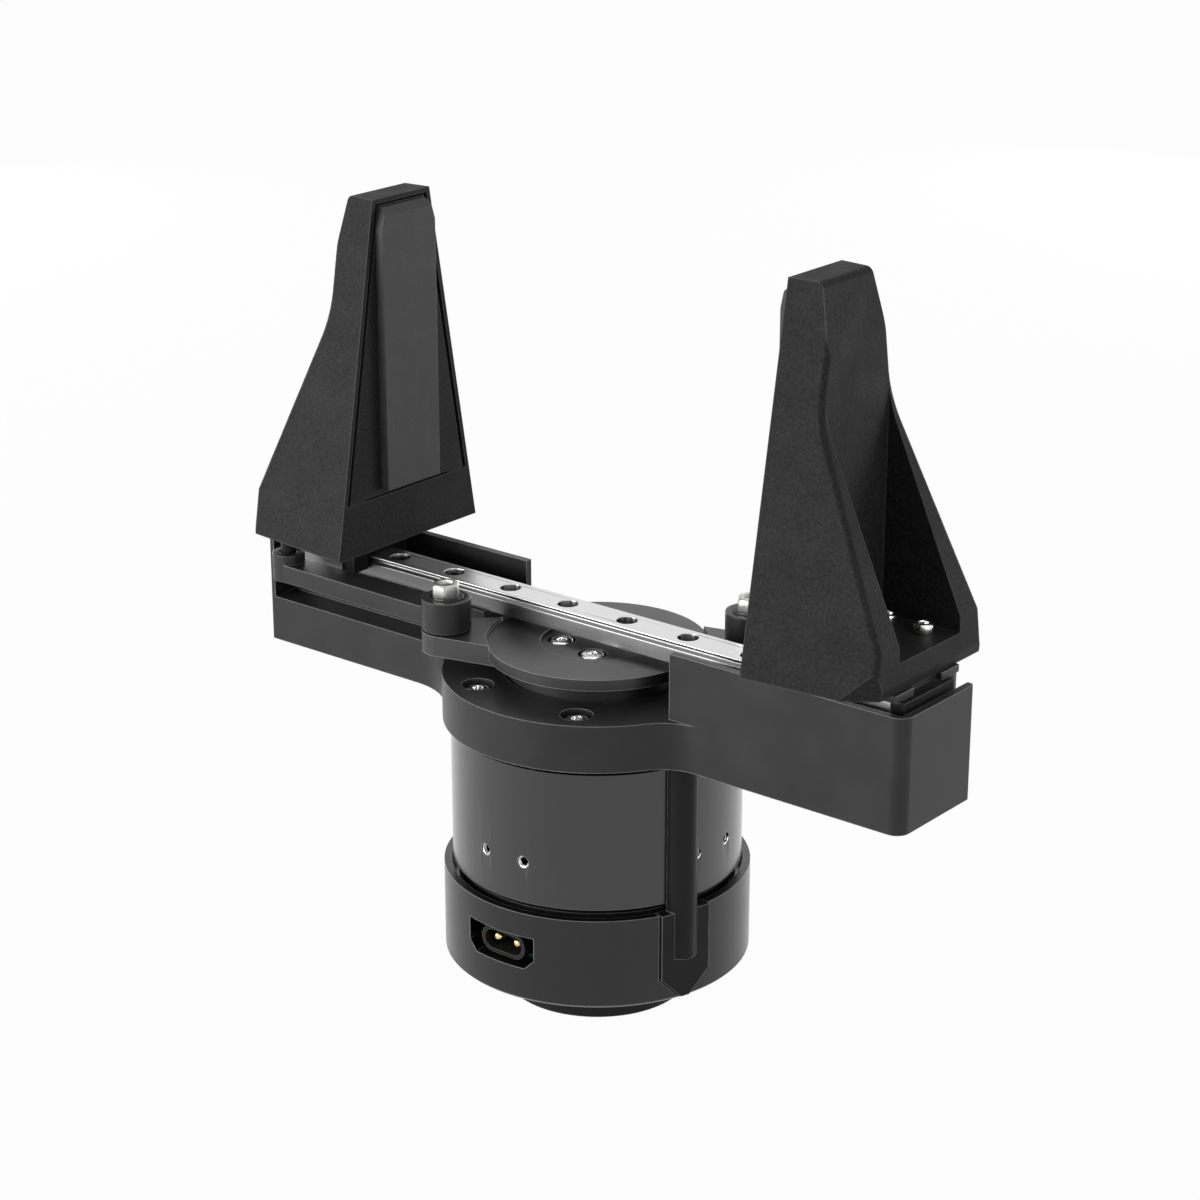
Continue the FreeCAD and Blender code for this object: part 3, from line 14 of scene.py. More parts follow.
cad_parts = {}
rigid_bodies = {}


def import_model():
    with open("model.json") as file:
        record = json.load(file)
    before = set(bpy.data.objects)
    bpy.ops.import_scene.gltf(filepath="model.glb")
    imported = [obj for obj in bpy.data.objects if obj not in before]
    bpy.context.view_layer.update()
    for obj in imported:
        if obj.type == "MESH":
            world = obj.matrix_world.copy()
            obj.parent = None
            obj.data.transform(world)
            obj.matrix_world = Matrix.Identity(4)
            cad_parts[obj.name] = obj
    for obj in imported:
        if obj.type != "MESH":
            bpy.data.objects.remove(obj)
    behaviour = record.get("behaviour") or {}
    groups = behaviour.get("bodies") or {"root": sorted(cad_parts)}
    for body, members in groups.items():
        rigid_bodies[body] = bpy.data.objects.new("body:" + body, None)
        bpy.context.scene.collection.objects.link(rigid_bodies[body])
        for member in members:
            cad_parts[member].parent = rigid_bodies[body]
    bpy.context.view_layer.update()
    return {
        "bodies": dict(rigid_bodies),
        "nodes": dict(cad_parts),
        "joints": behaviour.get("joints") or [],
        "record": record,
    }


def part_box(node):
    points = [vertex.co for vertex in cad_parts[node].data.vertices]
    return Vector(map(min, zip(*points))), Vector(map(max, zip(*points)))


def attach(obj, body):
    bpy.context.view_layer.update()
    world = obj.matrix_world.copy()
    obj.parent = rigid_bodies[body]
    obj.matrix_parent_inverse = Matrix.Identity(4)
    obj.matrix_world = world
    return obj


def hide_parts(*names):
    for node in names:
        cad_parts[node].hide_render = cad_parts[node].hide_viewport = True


LOG = logging.getLogger("gripper")
MM = 0.001
MICRON = 1e-6
SIDES = ("left", "right")
HEXAGON_SIDES = 6
WHITE = (1.0, 1.0, 1.0, 1.0)
# Faces whose normal has at least this share along Z look up or down.
UPRIGHT = 0.9
# Two faces of a new piece have an edge between them where they turn further than this; a coil's, twice it.
CREASE = math.radians(30)
# A Mix node has sockets of the same name for each kind of value, so those of a colour go by number.
MIX_FACTOR, MIX_FIRST, MIX_SECOND, MIX_RESULT = 0, 6, 7, 2
# How far apart a Wave node's lines are at a scale of 1.
WAVE_PITCH = 0.314

Colour = tuple[float, float, float]
Point = tuple[float, float, float]
Span = tuple[float, float]
Socket = bpy.types.NodeSocket
FaceTest = Callable[[bpy.types.MeshPolygon], bool]


class Head(Enum):
    """The kinds of screw head on the gripper."""

    CAP = "cap"
    DOMED = "domed"
    HEXAGON = "hexagon"


class Lines(Enum):
    """The ways that even lines can run over a piece."""

    STACKED = "BANDS"
    TURNED = "RINGS"


# ---------------------------------------------------------------- finishes


def grey(level: float) -> Colour:
    """The linear colour that is the same in all its parts."""
    return (level, level, level)


def tinted(colour: Colour, tint: Colour) -> Colour:
    """A colour with each of its parts scaled by the tint's."""
    return tuple(part * factor for part, factor in zip(colour, tint))


class Shader:
    """A new material's node tree, with the few moves that every finish here makes."""

    def __init__(self, name: str) -> None:
        """Start a material that holds one surface shader.

        Args:
            name: The finish's name in plain words.
        """
        self.material = bpy.data.materials.new(name)
        self.material.use_nodes = True
        self.tree = self.material.node_tree
        self.surface = self.tree.nodes["Principled BSDF"]
        self.place = self.add("TexCoord").outputs["Object"]

    def add(self, kind: str) -> bpy.types.Node:
        """Add a node of a kind."""
        return self.tree.nodes.new(f"ShaderNode{kind}")

    def join(self, start: Socket, end: Socket) -> None:
        """Link one node's output to another's input."""
        self.tree.links.new(start, end)

    def hold(self, **values: float) -> None:
        """Set sockets of the surface that are the same all over.

        Args:
            values: The socket's name with underscores for spaces, and its value.
        """
        sockets = {socket.name.lower().replace(" ", "_"): socket for socket in self.surface.inputs}
        for key, value in values.items():
            sockets[key].default_value = value

    def stretched(self, scale: Point) -> Socket:
        """The piece's own coordinates, scaled by axis.

        Args:
            scale: The factor along X, Y and Z.

        Returns:
            The socket that gives the scaled place.
        """
        mapping = self.add("Mapping")
        mapping.inputs["Scale"].default_value = scale
        self.join(self.place, mapping.inputs["Vector"])
        return mapping.outputs["Vector"]

    def texture(self, kind: str, scale: float, place: Socket | None = None) -> bpy.types.Node:
        """Add a texture.

        Args:
            kind: Its kind.
            scale: How fine it is, in repeats to the metre.
            place: Where it reads its place from; the piece's own coordinates if left out.

        Returns:
            The texture's node.
        """
        node = self.add(f"Tex{kind}")
        node.inputs["Scale"].default_value = scale
        self.join(place or self.place, node.inputs["Vector"])
        return node

    def noise(self, pitch: float, detail: float = 2.0, place: Socket | None = None) -> Socket:
        """Soft noise over the piece.

        Args:
            pitch: The size of its patches.
            detail: How many finer layers it has.
            place: Where it reads its place from; the piece's own coordinates if left out.

        Returns:
            The socket that gives the noise, from 0 to 1.
        """
        node = self.texture("Noise", 1.0 / pitch, place)
        node.inputs["Detail"].default_value = detail
        return node.outputs["Fac"]

    def cells(self, pitch: float) -> Socket:
        """Distance from the nearest of many scattered points, for grain and pits."""
        return self.texture("Voronoi", 1.0 / pitch).outputs["Distance"]

    def lines(self, run: Lines, pitch: float, wobble: float = 0.0) -> Socket:
        """Even lines over the piece, stacked along Z or in rings about it.

        Args:
            run: The way they run.
            pitch: The distance from line to line.
            wobble: How uneven they are.

        Returns:
            The socket that gives the lines, from 0 to 1.
        """
        node = self.texture("Wave", WAVE_PITCH / pitch)
        node.wave_type = run.value
        node.bands_direction = node.rings_direction = "Z"
        node.inputs["Distortion"].default_value = wobble
        node.inputs["Detail"].default_value = 3.0
        return node.outputs["Fac"]

    def spread(self, pattern: Socket, onto: Span = (0.0, 1.0), limits: Span = (0.3, 0.7)) -> Socket:
        """Map a pattern onto a range.

        Args:
            pattern: The pattern.
            onto: The values that it gets at its two limits and beyond them.
            limits: The pattern's own values there.

        Returns:
            The socket that gives the mapped value.
        """
        node = self.add("MapRange")
        for key, value in zip(("To Min", "To Max", "From Min", "From Max"), (*onto, *limits)):
            node.inputs[key].default_value = value
        self.join(pattern, node.inputs["Value"])
        return node.outputs["Result"]

    def blend(self, factor: Socket, first: Colour | Socket, second: Colour) -> Socket:
        """Two colours mixed by a pattern.

        Args:
            factor: The pattern, 0 for the first colour and 1 for the second.
            first: A linear colour, or the socket that gives one.
            second: A linear colour.

        Returns:
            The socket that gives the colour.
        """
        node = self.add("Mix")
        node.data_type = "RGBA"
        self.join(factor, node.inputs[MIX_FACTOR])
        if isinstance(first, tuple):
            node.inputs[MIX_FIRST].default_value = (*first, 1.0)
        else:
            self.join(first, node.inputs[MIX_FIRST])
        node.inputs[MIX_SECOND].default_value = (*second, 1.0)
        return node.outputs[MIX_RESULT]

    def edges(self, reach: float) -> Socket:
        """A mask that rises on the piece's outer edges, where the finishes paint a highlight.

        Args:
            reach: How far from an edge it reaches.

        Returns:
            The socket that gives the mask, from 0 to 1.
        """
        rounded = self.add("Bevel")
        rounded.samples = 4
        rounded.inputs["Radius"].default_value = reach
        likeness = self.add("VectorMath")
        likeness.operation = "DOT_PRODUCT"
        self.join(rounded.outputs["Normal"], likeness.inputs[0])
        self.join(self.add("NewGeometry").outputs["Normal"], likeness.inputs[1])
        return self.spread(likeness.outputs["Value"], onto=(1.0, 0.0), limits=(0.82, 0.99))

    def colour(self, source: Socket) -> None:
        """Feed the surface's colour."""
        self.join(source, self.surface.inputs["Base Color"])

    def roughness(self, pattern: Socket, span: Span, limits: Span = (0.3, 0.7)) -> None:
        """Feed the surface's roughness, which follows a pattern from one end of its span to the other."""
        self.join(self.spread(pattern, span, limits), self.surface.inputs["Roughness"])

    def relief(self, *layers: tuple[Socket, float]) -> None:
        """Give the surface a bumpy relief, layer over layer.

        Args:
            layers: Each pattern with the height of its relief.
        """
        normal = None
        for pattern, height in layers:
            node = self.add("Bump")
            node.inputs["Distance"].default_value = height
            self.join(pattern, node.inputs["Height"])
            if normal:
                self.join(normal, node.inputs["Normal"])
            normal = node.outputs["Normal"]
        self.join(normal, self.surface.inputs["Normal"])


@dataclass(frozen=True)
class Anodised:
    """Black anodised aluminium over a finely blasted face, with a painted highlight on its edges.

    Its clouds of dark and light are a patch wide, and a clear seal may lie over them.
    """

    name: str = "black_anodised_aluminium"
    dark: Colour = (0.016, 0.016, 0.0163)
    light: Colour = (0.021, 0.021, 0.0214)
    patch: float = 9 * MM
    # The edge colour is a painted highlight on the edges.
    edge: Colour = (0.30, 0.30, 0.305)
    reach: float = 0.28 * MM
    roughness: Span = (0.34, 0.40)
    ior: float = 1.50
    specular: float = 0.24
    seal: float = 0.0
    seal_roughness: float = 0.20
    seal_ior: float = 1.6
    grain: float = 0.16 * MM
    depth: float = 0.0035 * MM

    def material(self) -> bpy.types.Material:
        """Build the finish.

        Returns:
            The material.
        """
        shader = Shader(self.name)
        shader.hold(ior=self.ior, specular_ior_level=self.specular)
        shader.hold(coat_weight=self.seal, coat_roughness=self.seal_roughness, coat_ior=self.seal_ior)
        cloud = shader.noise(self.patch, detail=3.0)
        body = shader.blend(shader.spread(cloud), self.dark, self.light)
        # Lighter colour on the edges: a painted highlight.
        shader.colour(shader.blend(shader.edges(self.reach), body, self.edge))
        shader.roughness(cloud, self.roughness)
        shader.relief((shader.noise(self.grain), self.depth))
        return shader.material


@dataclass(frozen=True)
class Moulded:
    """Matt black plastic with the fine grain of its mould, and a painted highlight on its edges.

    It is scattered with pale specks, whose size and height are in those of the grain. Blackened steel and the
    black ring of painted shadow under the plate have this finish too.
    """

    name: str = "grained_black_plastic"
    dark: Colour = (0.007, 0.007, 0.0071)
    light: Colour = (0.020, 0.020, 0.0203)
    # The edge colour is a painted highlight on the edges.
    edge: Colour = (0.075, 0.075, 0.076)
    reach: float = 0.40 * MM
    patch: float = 6 * MM
    roughness: Span = (0.54, 0.64)
    ior: float = 1.42
    specular: float = 0.12
    grain: float = 0.34 * MM
    height: float = 0.030 * MM
    speck_size: float = 1.6
    speck_height: float = 0.6

    def material(self) -> bpy.types.Material:
        """Build the finish.

        Returns:
            The material.
        """
        shader = Shader(self.name)
        shader.hold(ior=self.ior, specular_ior_level=self.specular)
        speck = shader.noise(self.grain * self.speck_size)
        body = shader.blend(shader.spread(speck), self.dark, self.light)
        # Lighter colour on the edges: a painted highlight.
        shader.colour(shader.blend(shader.edges(self.reach), body, self.edge))
        shader.roughness(shader.noise(self.patch, detail=4.0), self.roughness)
        shader.relief((shader.cells(self.grain), self.height), (speck, self.height * self.speck_height))
        return shader.material


@dataclass(frozen=True)
class Rubber:
    """Soft black rubber of the grip pads: dull, dusty and finely pitted."""

    name: str = "grip_pad_rubber"
    dark: Colour = grey(0.022)
    light: Colour = grey(0.040)
    roughness: Span = (0.66, 0.78)
    dust: float = 3.5 * MM
    dust_height: float = 0.03 * MM
    pit: float = 0.5 * MM
    pit_depth: float = 0.018 * MM

    def material(self) -> bpy.types.Material:
        """Build the finish.

        Returns:
            The material.
        """
        shader = Shader(self.name)
        shader.hold(ior=1.45, sheen_weight=0.05, sheen_roughness=0.6)
        dust = shader.noise(self.dust, detail=5.0)
        shader.colour(shader.blend(shader.spread(dust), self.dark, self.light))
        shader.roughness(dust, self.roughness)
        shader.relief((shader.cells(self.pit), self.pit_depth), (dust, self.dust_height))
        return shader.material


@dataclass(frozen=True)
class GroundSteel:
    """Bright steel, ground lengthwise, with painted shade below its top face, in its holes and on its sides.

    It is told the height of that face, and fades between two depths under it.
    """

    name: str
    face: float
    base: Colour = grey(0.58)
    # The colour below the top face is painted shade, for the counterbores and the sides.
    below: Colour = (0.18, 0.18, 0.183)
    fade: Span = (0.30 * MM, 0.12 * MM)
    roughness: Span = (0.28, 0.40)
    scratch: float = 0.30 * MM
    stretch: Point = (0.02, 1.0, 1.0)

    def material(self) -> bpy.types.Material:
        """Build the finish.

        Returns:
            The material.
        """
        shader = Shader(self.name)
        shader.hold(metallic=1.0)
        parts = shader.add("SeparateXYZ")
        shader.join(shader.place, parts.inputs["Vector"])
        deep, shallow = self.fade
        # Darker below the top face: painted shade.
        top = shader.spread(parts.outputs["Z"], limits=(self.face - deep, self.face - shallow))
        shader.colour(shader.blend(top, self.below, self.base))
        streaks = shader.noise(self.scratch, detail=3.0, place=shader.stretched(self.stretch))
        shader.roughness(streaks, self.roughness)
        return shader.material


@dataclass(frozen=True)
class Plated:
    """Bright plating: a hard mirror with a few soft dents and smears."""

    name: str
    base: Colour = (0.84, 0.83, 0.81)
    roughness: Span = (0.15, 0.29)
    smear: float = 1.4 * MM
    smear_tint: Colour = grey(0.78)
    dent: float = 0.003 * MM

    def material(self) -> bpy.types.Material:
        """Build the finish.

        Returns:
            The material.
        """
        shader = Shader(self.name)
        shader.hold(metallic=1.0)
        smear = shader.noise(self.smear, detail=4.0)
        shader.colour(shader.blend(shader.spread(smear), self.base, tinted(self.base, self.smear_tint)))
        shader.roughness(smear, self.roughness)
        shader.relief((smear, self.dent))
        return shader.material


@dataclass(frozen=True)
class Turned:
    """Bare aluminium with the rings of the lathe on it."""

    name: str = "turned_aluminium"
    base: Colour = (0.58, 0.58, 0.59)
    patch: float = 5 * MM
    patch_tint: Colour = grey(0.8)
    roughness: Span = (0.28, 0.42)
    ring: float = 0.12 * MM
    ring_depth: float = 0.004 * MM

    def material(self) -> bpy.types.Material:
        """Build the finish.

        Returns:
            The material.
        """
        shader = Shader(self.name)
        shader.hold(metallic=1.0)
        cloud = shader.noise(self.patch, detail=3.0)
        shader.colour(shader.blend(shader.spread(cloud), self.base, tinted(self.base, self.patch_tint)))
        rings = shader.lines(Lines.TURNED, self.ring, wobble=0.6)
        shader.roughness(rings, self.roughness, limits=(0.0, 1.0))
        shader.relief((rings, self.ring_depth))
        return shader.material


@dataclass(frozen=True)
class CoreSteel:
    """Oiled tool steel, with the seams of stamped sheets on its sides."""

    name: str = "stacked_core_steel"
    base: Colour = (0.30, 0.30, 0.31)
    oil: float = 4 * MM
    oil_tint: Colour = (0.72, 0.74, 0.80)
    roughness: Span = (0.34, 0.50)
    sheet: float = 0.35 * MM
    seam: float = 0.012 * MM

    def material(self) -> bpy.types.Material:
        """Build the finish.

        Returns:
            The material.
        """
        shader = Shader(self.name)
        shader.hold(metallic=1.0)
        oil = shader.noise(self.oil, detail=4.0)
        shader.colour(shader.blend(shader.spread(oil), self.base, tinted(self.base, self.oil_tint)))
        shader.roughness(oil, self.roughness)
        shader.relief((shader.lines(Lines.STACKED, self.sheet), self.seam))
        return shader.material


@dataclass(frozen=True)
class WoundCopper:
    """Lacquered copper wire, wound turn beside turn, with painted shade in the grooves between turns."""

    name: str = "wound_copper_wire"
    base: Colour = (0.72, 0.30, 0.14)
    # The shade colour is painted shade in the grooves between turns.
    shade: Colour = (0.55, 0.45, 0.40)
    wire: float = 0.45 * MM
    groove: float = 0.10 * MM
    patch: float = 2 * MM
    roughness: Span = (0.25, 0.38)

    def material(self) -> bpy.types.Material:
        """Build the finish.

        Returns:
            The material.
        """
        shader = Shader(self.name)
        shader.hold(metallic=1.0, coat_weight=0.6, coat_roughness=0.12)
        turns = shader.lines(Lines.STACKED, self.wire)
        # Darker in the grooves between turns: painted shade.
        groove_shade_mask = shader.spread(turns, onto=(1.0, 0.0), limits=(0.1, 0.6))
        shader.colour(shader.blend(groove_shade_mask, self.base, tinted(self.base, self.shade)))
        shader.roughness(shader.noise(self.patch, detail=3.0), self.roughness)
        shader.relief((turns, self.groove))
        return shader.material


@dataclass(frozen=True)
class SolderMask:
    """A circuit board's lacquer, with faint copper tracks under it that run round bare fields."""

    name: str = "board_lacquer"
    lacquer: Colour = (0.010, 0.060, 0.034)
    track: Colour = (0.020, 0.110, 0.055)
    track_height: float = 0.03 * MM
    field: float = 2.4 * MM
    patch: float = 3 * MM
    roughness: Span = (0.26, 0.36)

    def material(self) -> bpy.types.Material:
        """Build the finish.

        Returns:
            The material.
        """
        shader = Shader(self.name)
        shader.hold(ior=1.52, coat_weight=0.3, coat_roughness=0.1)
        fields = shader.texture("Voronoi", 1.0 / self.field)
        fields.distance = "CHEBYCHEV"
        fields.feature = "DISTANCE_TO_EDGE"
        tracks = shader.spread(fields.outputs["Distance"], onto=(1.0, 0.0), limits=(0.06, 0.10))
        shader.colour(shader.blend(tracks, self.lacquer, self.track))
        shader.roughness(shader.noise(self.patch), self.roughness)
        shader.relief((tracks, self.track_height))
        return shader.material


def looked_at(tree: bpy.types.NodeTree) -> Socket:
    """A factor that is 1 for what is seen directly, in a gloss or through glass.

    Args:
        tree: The material's or the world's node tree.

    Returns:
        The socket that gives the factor.
    """
    rays = tree.nodes.new("ShaderNodeLightPath")
    total = rays.outputs["Is Camera Ray"]
    for kind in ("Is Glossy Ray", "Is Transmission Ray"):
        either = tree.nodes.new("ShaderNodeMath")
        either.operation = "MAXIMUM"
        tree.links.new(total, either.inputs[0])
        tree.links.new(rays.outputs[kind], either.inputs[1])
        total = either.outputs["Value"]
    return total


def show(tree: bpy.types.NodeTree, factor: Socket, lit: bpy.types.Node, seen: bpy.types.Node) -> None:
    """Mix two shaders and send them to the tree's output.

    Args:
        tree: The material's or the world's node tree.
        factor: How much of the second shader shows, from 0 to 1.
        lit: The first shader's node.
        seen: The second shader's node.
    """
    mix = tree.nodes.new("ShaderNodeMixShader")
    for source, socket in zip((factor, lit.outputs[0], seen.outputs[0]), mix.inputs):
        tree.links.new(source, socket)
    output = next(node for node in tree.nodes if node.name.endswith("Output"))
    tree.links.new(mix.outputs["Shader"], output.inputs["Surface"])


@dataclass(frozen=True)
class Floor:
    """The pale floor, with the gripper's soft shadow on it.

    Where it is looked at, its share is plain white and only the rest is lit.
    """

    name: str = "pale_floor"
    paint: Colour = grey(0.62)
    patch: float = 0.5
    patch_tint: Colour = grey(0.99)
    share: float = 0.97

    def material(self) -> bpy.types.Material:
        """Build the finish.

        Returns:
            The material.
        """
        shader = Shader(self.name)
        shader.hold(roughness=0.9, specular_ior_level=0.0)
        cloud = shader.spread(shader.noise(self.patch))
        shader.colour(shader.blend(cloud, self.paint, tinted(self.paint, self.patch_tint)))
        share = shader.add("Math")
        share.operation = "MULTIPLY"
        share.inputs[1].default_value = self.share
        shader.join(looked_at(shader.tree), share.inputs[0])
        glow = shader.add("Emission")
        glow.inputs["Strength"].default_value = 1.0
        show(shader.tree, share.outputs["Value"], shader.surface, glow)
        return shader.material


def finishes() -> dict[str, bpy.types.Material]:
    """Make every finish once.

    Returns:
        The materials, by the record's material slot or, for a finish of single pieces, by a key of its own.
    """
    kinds = {
        "anodised_aluminium": Anodised(),
        "anodised_casings": Anodised(
            "satin_anodised_casings", grey(0.004), grey(0.006), specular=0.10, seal=1.0
        ),
        "anodised_cup": Anodised("satin_anodised_cup", grey(0.003), grey(0.004), specular=0.05, seal=0.6),
        # A darker copy of the anodise for the side column and the mounting boss: painted shade, as they stand
        # in shade beside the housing and under the cup.
        "anodised_column": Anodised("dull_anodised_column", grey(0.005), grey(0.007), specular=0.15),
        "anodised_crank": Anodised("satin_anodised_crank", specular=0.45),
        "plain_aluminium": Turned(),
        "finger_plastic": Moulded(),
        "socket_plastic": Moulded("smooth_black_plastic", roughness=(0.36, 0.46), height=0.004 * MM),
        "blackened_steel": Moulded("blackened_steel", roughness=(0.30, 0.40), height=0.002 * MM),
        # A black with no gloss for the ring of painted shadow under the plate.
        "black_seal": Moulded(
            "black_seal", grey(0.001), grey(0.002), grey(0.002), roughness=(0.8, 0.9), specular=0.0
        ),
        "grip_rubber": Rubber(),
        "rail_steel": GroundSteel("ground_rail_steel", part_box("linear_rail")[1].z),
        "core_steel": CoreSteel(),
        "screw_steel": Plated("plated_screws"),
        "bolt_steel": Plated("dull_plated_bolts", (0.50, 0.50, 0.49), (0.28, 0.42)),
        "bearing_steel": Plated("polished_bearing_steel", (0.56, 0.56, 0.58), (0.14, 0.28)),
        "magnet_plate": Plated("nickel_plated_magnets", (0.62, 0.60, 0.56), (0.22, 0.36)),
        "gold_pins": Plated("gold_plated_pins", (0.86, 0.62, 0.26), (0.16, 0.30)),
        "copper": WoundCopper(),
        "board": SolderMask(),
    }
    return {key: kind.material() for key, kind in kinds.items()}


# ---------------------------------------------------------------- the bench


def looks_up(face: bpy.types.MeshPolygon) -> bool:
    """Whether a face looks up."""
    return face.normal.z > UPRIGHT


def looks_down(face: bpy.types.MeshPolygon) -> bool:
    """Whether a face looks down."""
    return face.normal.z < -UPRIGHT


@dataclass(frozen=True)
class Block:
    """The box that one solid of a frame node fills."""

    low: Vector
    high: Vector

    @property
    def middle(self) -> Vector:
        """The point at its middle."""
        return (self.low + self.high) / 2

    @property
    def size(self) -> Vector:
        """How long it is along each axis."""
        return self.high - self.low


class Bench:
    """Where new pieces are shaped, one at a time."""

    @staticmethod
    def blocks(node: bpy.types.Object) -> list[Block]:
        """Find the boxes of a frame node's separate solids.

        Args:
            node: A node of the frame, whose triangles are loose.

        Returns:
            One box for each solid, from low X to high X, then low Y to high Y, told apart to ten microns.
        """
        mesh = node.data
        keys = [tuple(round(part / MICRON) for part in vertex.co) for vertex in mesh.vertices]
        owner = {key: key for key in keys}

        def root(key: tuple[int, ...]) -> tuple[int, ...]:
            """Find the corner that stands for all those joined to one.

            Args:
                key: A corner, in whole microns.

            Returns:
                The corner that stands for it.
            """
            while owner[key] != key:
                owner[key] = owner[owner[key]]
                key = owner[key]
            return key

        for face in mesh.polygons:
            first, *others = (keys[index] for index in face.vertices)
            for other in others:
                owner[root(other)] = root(first)
        groups: dict[tuple[int, ...], list[tuple[int, ...]]] = {}
        for key in owner:
            groups.setdefault(root(key), []).append(key)
        ends = ([Vector(map(end, *group)) * MICRON for end in (min, max)] for group in groups.values())
        found = [Block(low, high) for low, high in ends]
        return sorted(found, key=lambda block: [round(part / MICRON, -1) for part in block.middle.xy])

    @staticmethod
    def clear() -> None:
        """Select nothing."""
        bpy.ops.object.select_all(action="DESELECT")

    @staticmethod
    def take(piece: bpy.types.Object) -> None:
        """Select one piece alone and make it the active one.

        Args:
            piece: The piece.
        """
        Bench.clear()
        piece.select_set(True)
        bpy.context.view_layer.objects.active = piece

    @staticmethod
    def settle() -> bpy.types.Object:
        """Write the new piece's place into its mesh.

        Returns:
            The piece.
        """
        bpy.ops.object.transform_apply(location=True, rotation=True, scale=True)
        return bpy.context.active_object

    @staticmethod
    def cylinder(name: str, radius: float, low: float, high: float, sides: int = 40) -> bpy.types.Object:
        """Add an upright cylinder about Z.

        Args:
            name: The piece's name.
            radius: Its radius.
            low: The height of its foot.
            high: The height of its top.
            sides: How many sides it has.

        Returns:
            The piece, alone selected.
        """
        Bench.clear()
        bpy.ops.mesh.primitive_cylinder_add(
            vertices=sides, radius=radius, depth=high - low, location=(0, 0, (low + high) / 2)
        )
        piece = Bench.settle()
        piece.name = name
        return piece

    @staticmethod
    def faces(piece: bpy.types.Object, wanted: FaceTest) -> None:
        """Enter edit mode with only some faces selected.

        Args:
            piece: The piece.
            wanted: Says whether a face is one of them.
        """
        bpy.ops.object.mode_set(mode="EDIT")
        bpy.ops.mesh.select_mode(type="FACE")
        bpy.ops.mesh.select_all(action="DESELECT")
        Bench.leave()
        for face in piece.data.polygons:
            face.select = wanted(face)
        bpy.ops.object.mode_set(mode="EDIT")

    @staticmethod
    def leave() -> None:
        """Go back to object mode."""
        bpy.ops.object.mode_set(mode="OBJECT")

    @staticmethod
    def extrude(shift: float) -> None:
        """Extrude the selected faces and move them along Z."""
        bpy.ops.mesh.extrude_region_move(TRANSFORM_OT_translate={"value": (0, 0, shift)})

    @staticmethod
    def round_top(piece: bpy.types.Object, width: float, steps: int) -> None:
        """Round off the rim of a piece's top.

        Args:
            piece: The piece.
            width: How wide the rounding is.
            steps: How many faces it has across.
        """
        Bench.faces(piece, looks_up)
        bpy.ops.mesh.bevel(offset=width, segments=steps, affect="EDGES")
        Bench.leave()

    @staticmethod
    def cut(piece: bpy.types.Object, cutter: bpy.types.Object, keep: bool = False) -> None:
        """Cut one piece out of another, and throw the cutter away.

        Args:
            piece: What is cut.
            cutter: What cuts.
            keep: Whether what lies inside the cutter is what stays.
        """
        Bench.take(piece)
        boolean = piece.modifiers.new("cut", "BOOLEAN")
        boolean.operation = "INTERSECT" if keep else "DIFFERENCE"
        boolean.solver = "EXACT"
        boolean.object = cutter
        bpy.ops.object.modifier_apply(modifier=boolean.name)
        Bench.drop(cutter)

    @staticmethod
    def break_edges(piece: bpy.types.Object, width: float) -> None:
        """Round off a piece's sharp edges and shade it smooth.

        Args:
            piece: The piece.
            width: How wide each rounding is.
        """
        Bench.take(piece)
        bevel = piece.modifiers.new("edges", "BEVEL")
        bevel.width = width
        bevel.segments = 2
        bevel.limit_method = "ANGLE"
        bevel.angle_limit = CREASE
        bpy.ops.object.modifier_apply(modifier=bevel.name)
        bpy.ops.object.shade_smooth_by_angle(angle=CREASE)

    @staticmethod
    def copied(piece: bpy.types.Object, name: str, place: Matrix) -> bpy.types.Object:
        """Copy a piece with a mesh of its own.

        Args:
            piece: The pattern.
            name: The copy's name.
            place: Where the copy goes, written into its mesh.

        Returns:
            The copy.
        """
        copy = piece.copy()
        copy.data = piece.data.copy()
        copy.name = copy.data.name = name
        copy.data.transform(place)
        bpy.context.scene.collection.objects.link(copy)
        return copy

    @staticmethod
    def drop(piece: bpy.types.Object) -> None:
        """Throw a cutter or a pattern away."""
        bpy.data.objects.remove(piece)


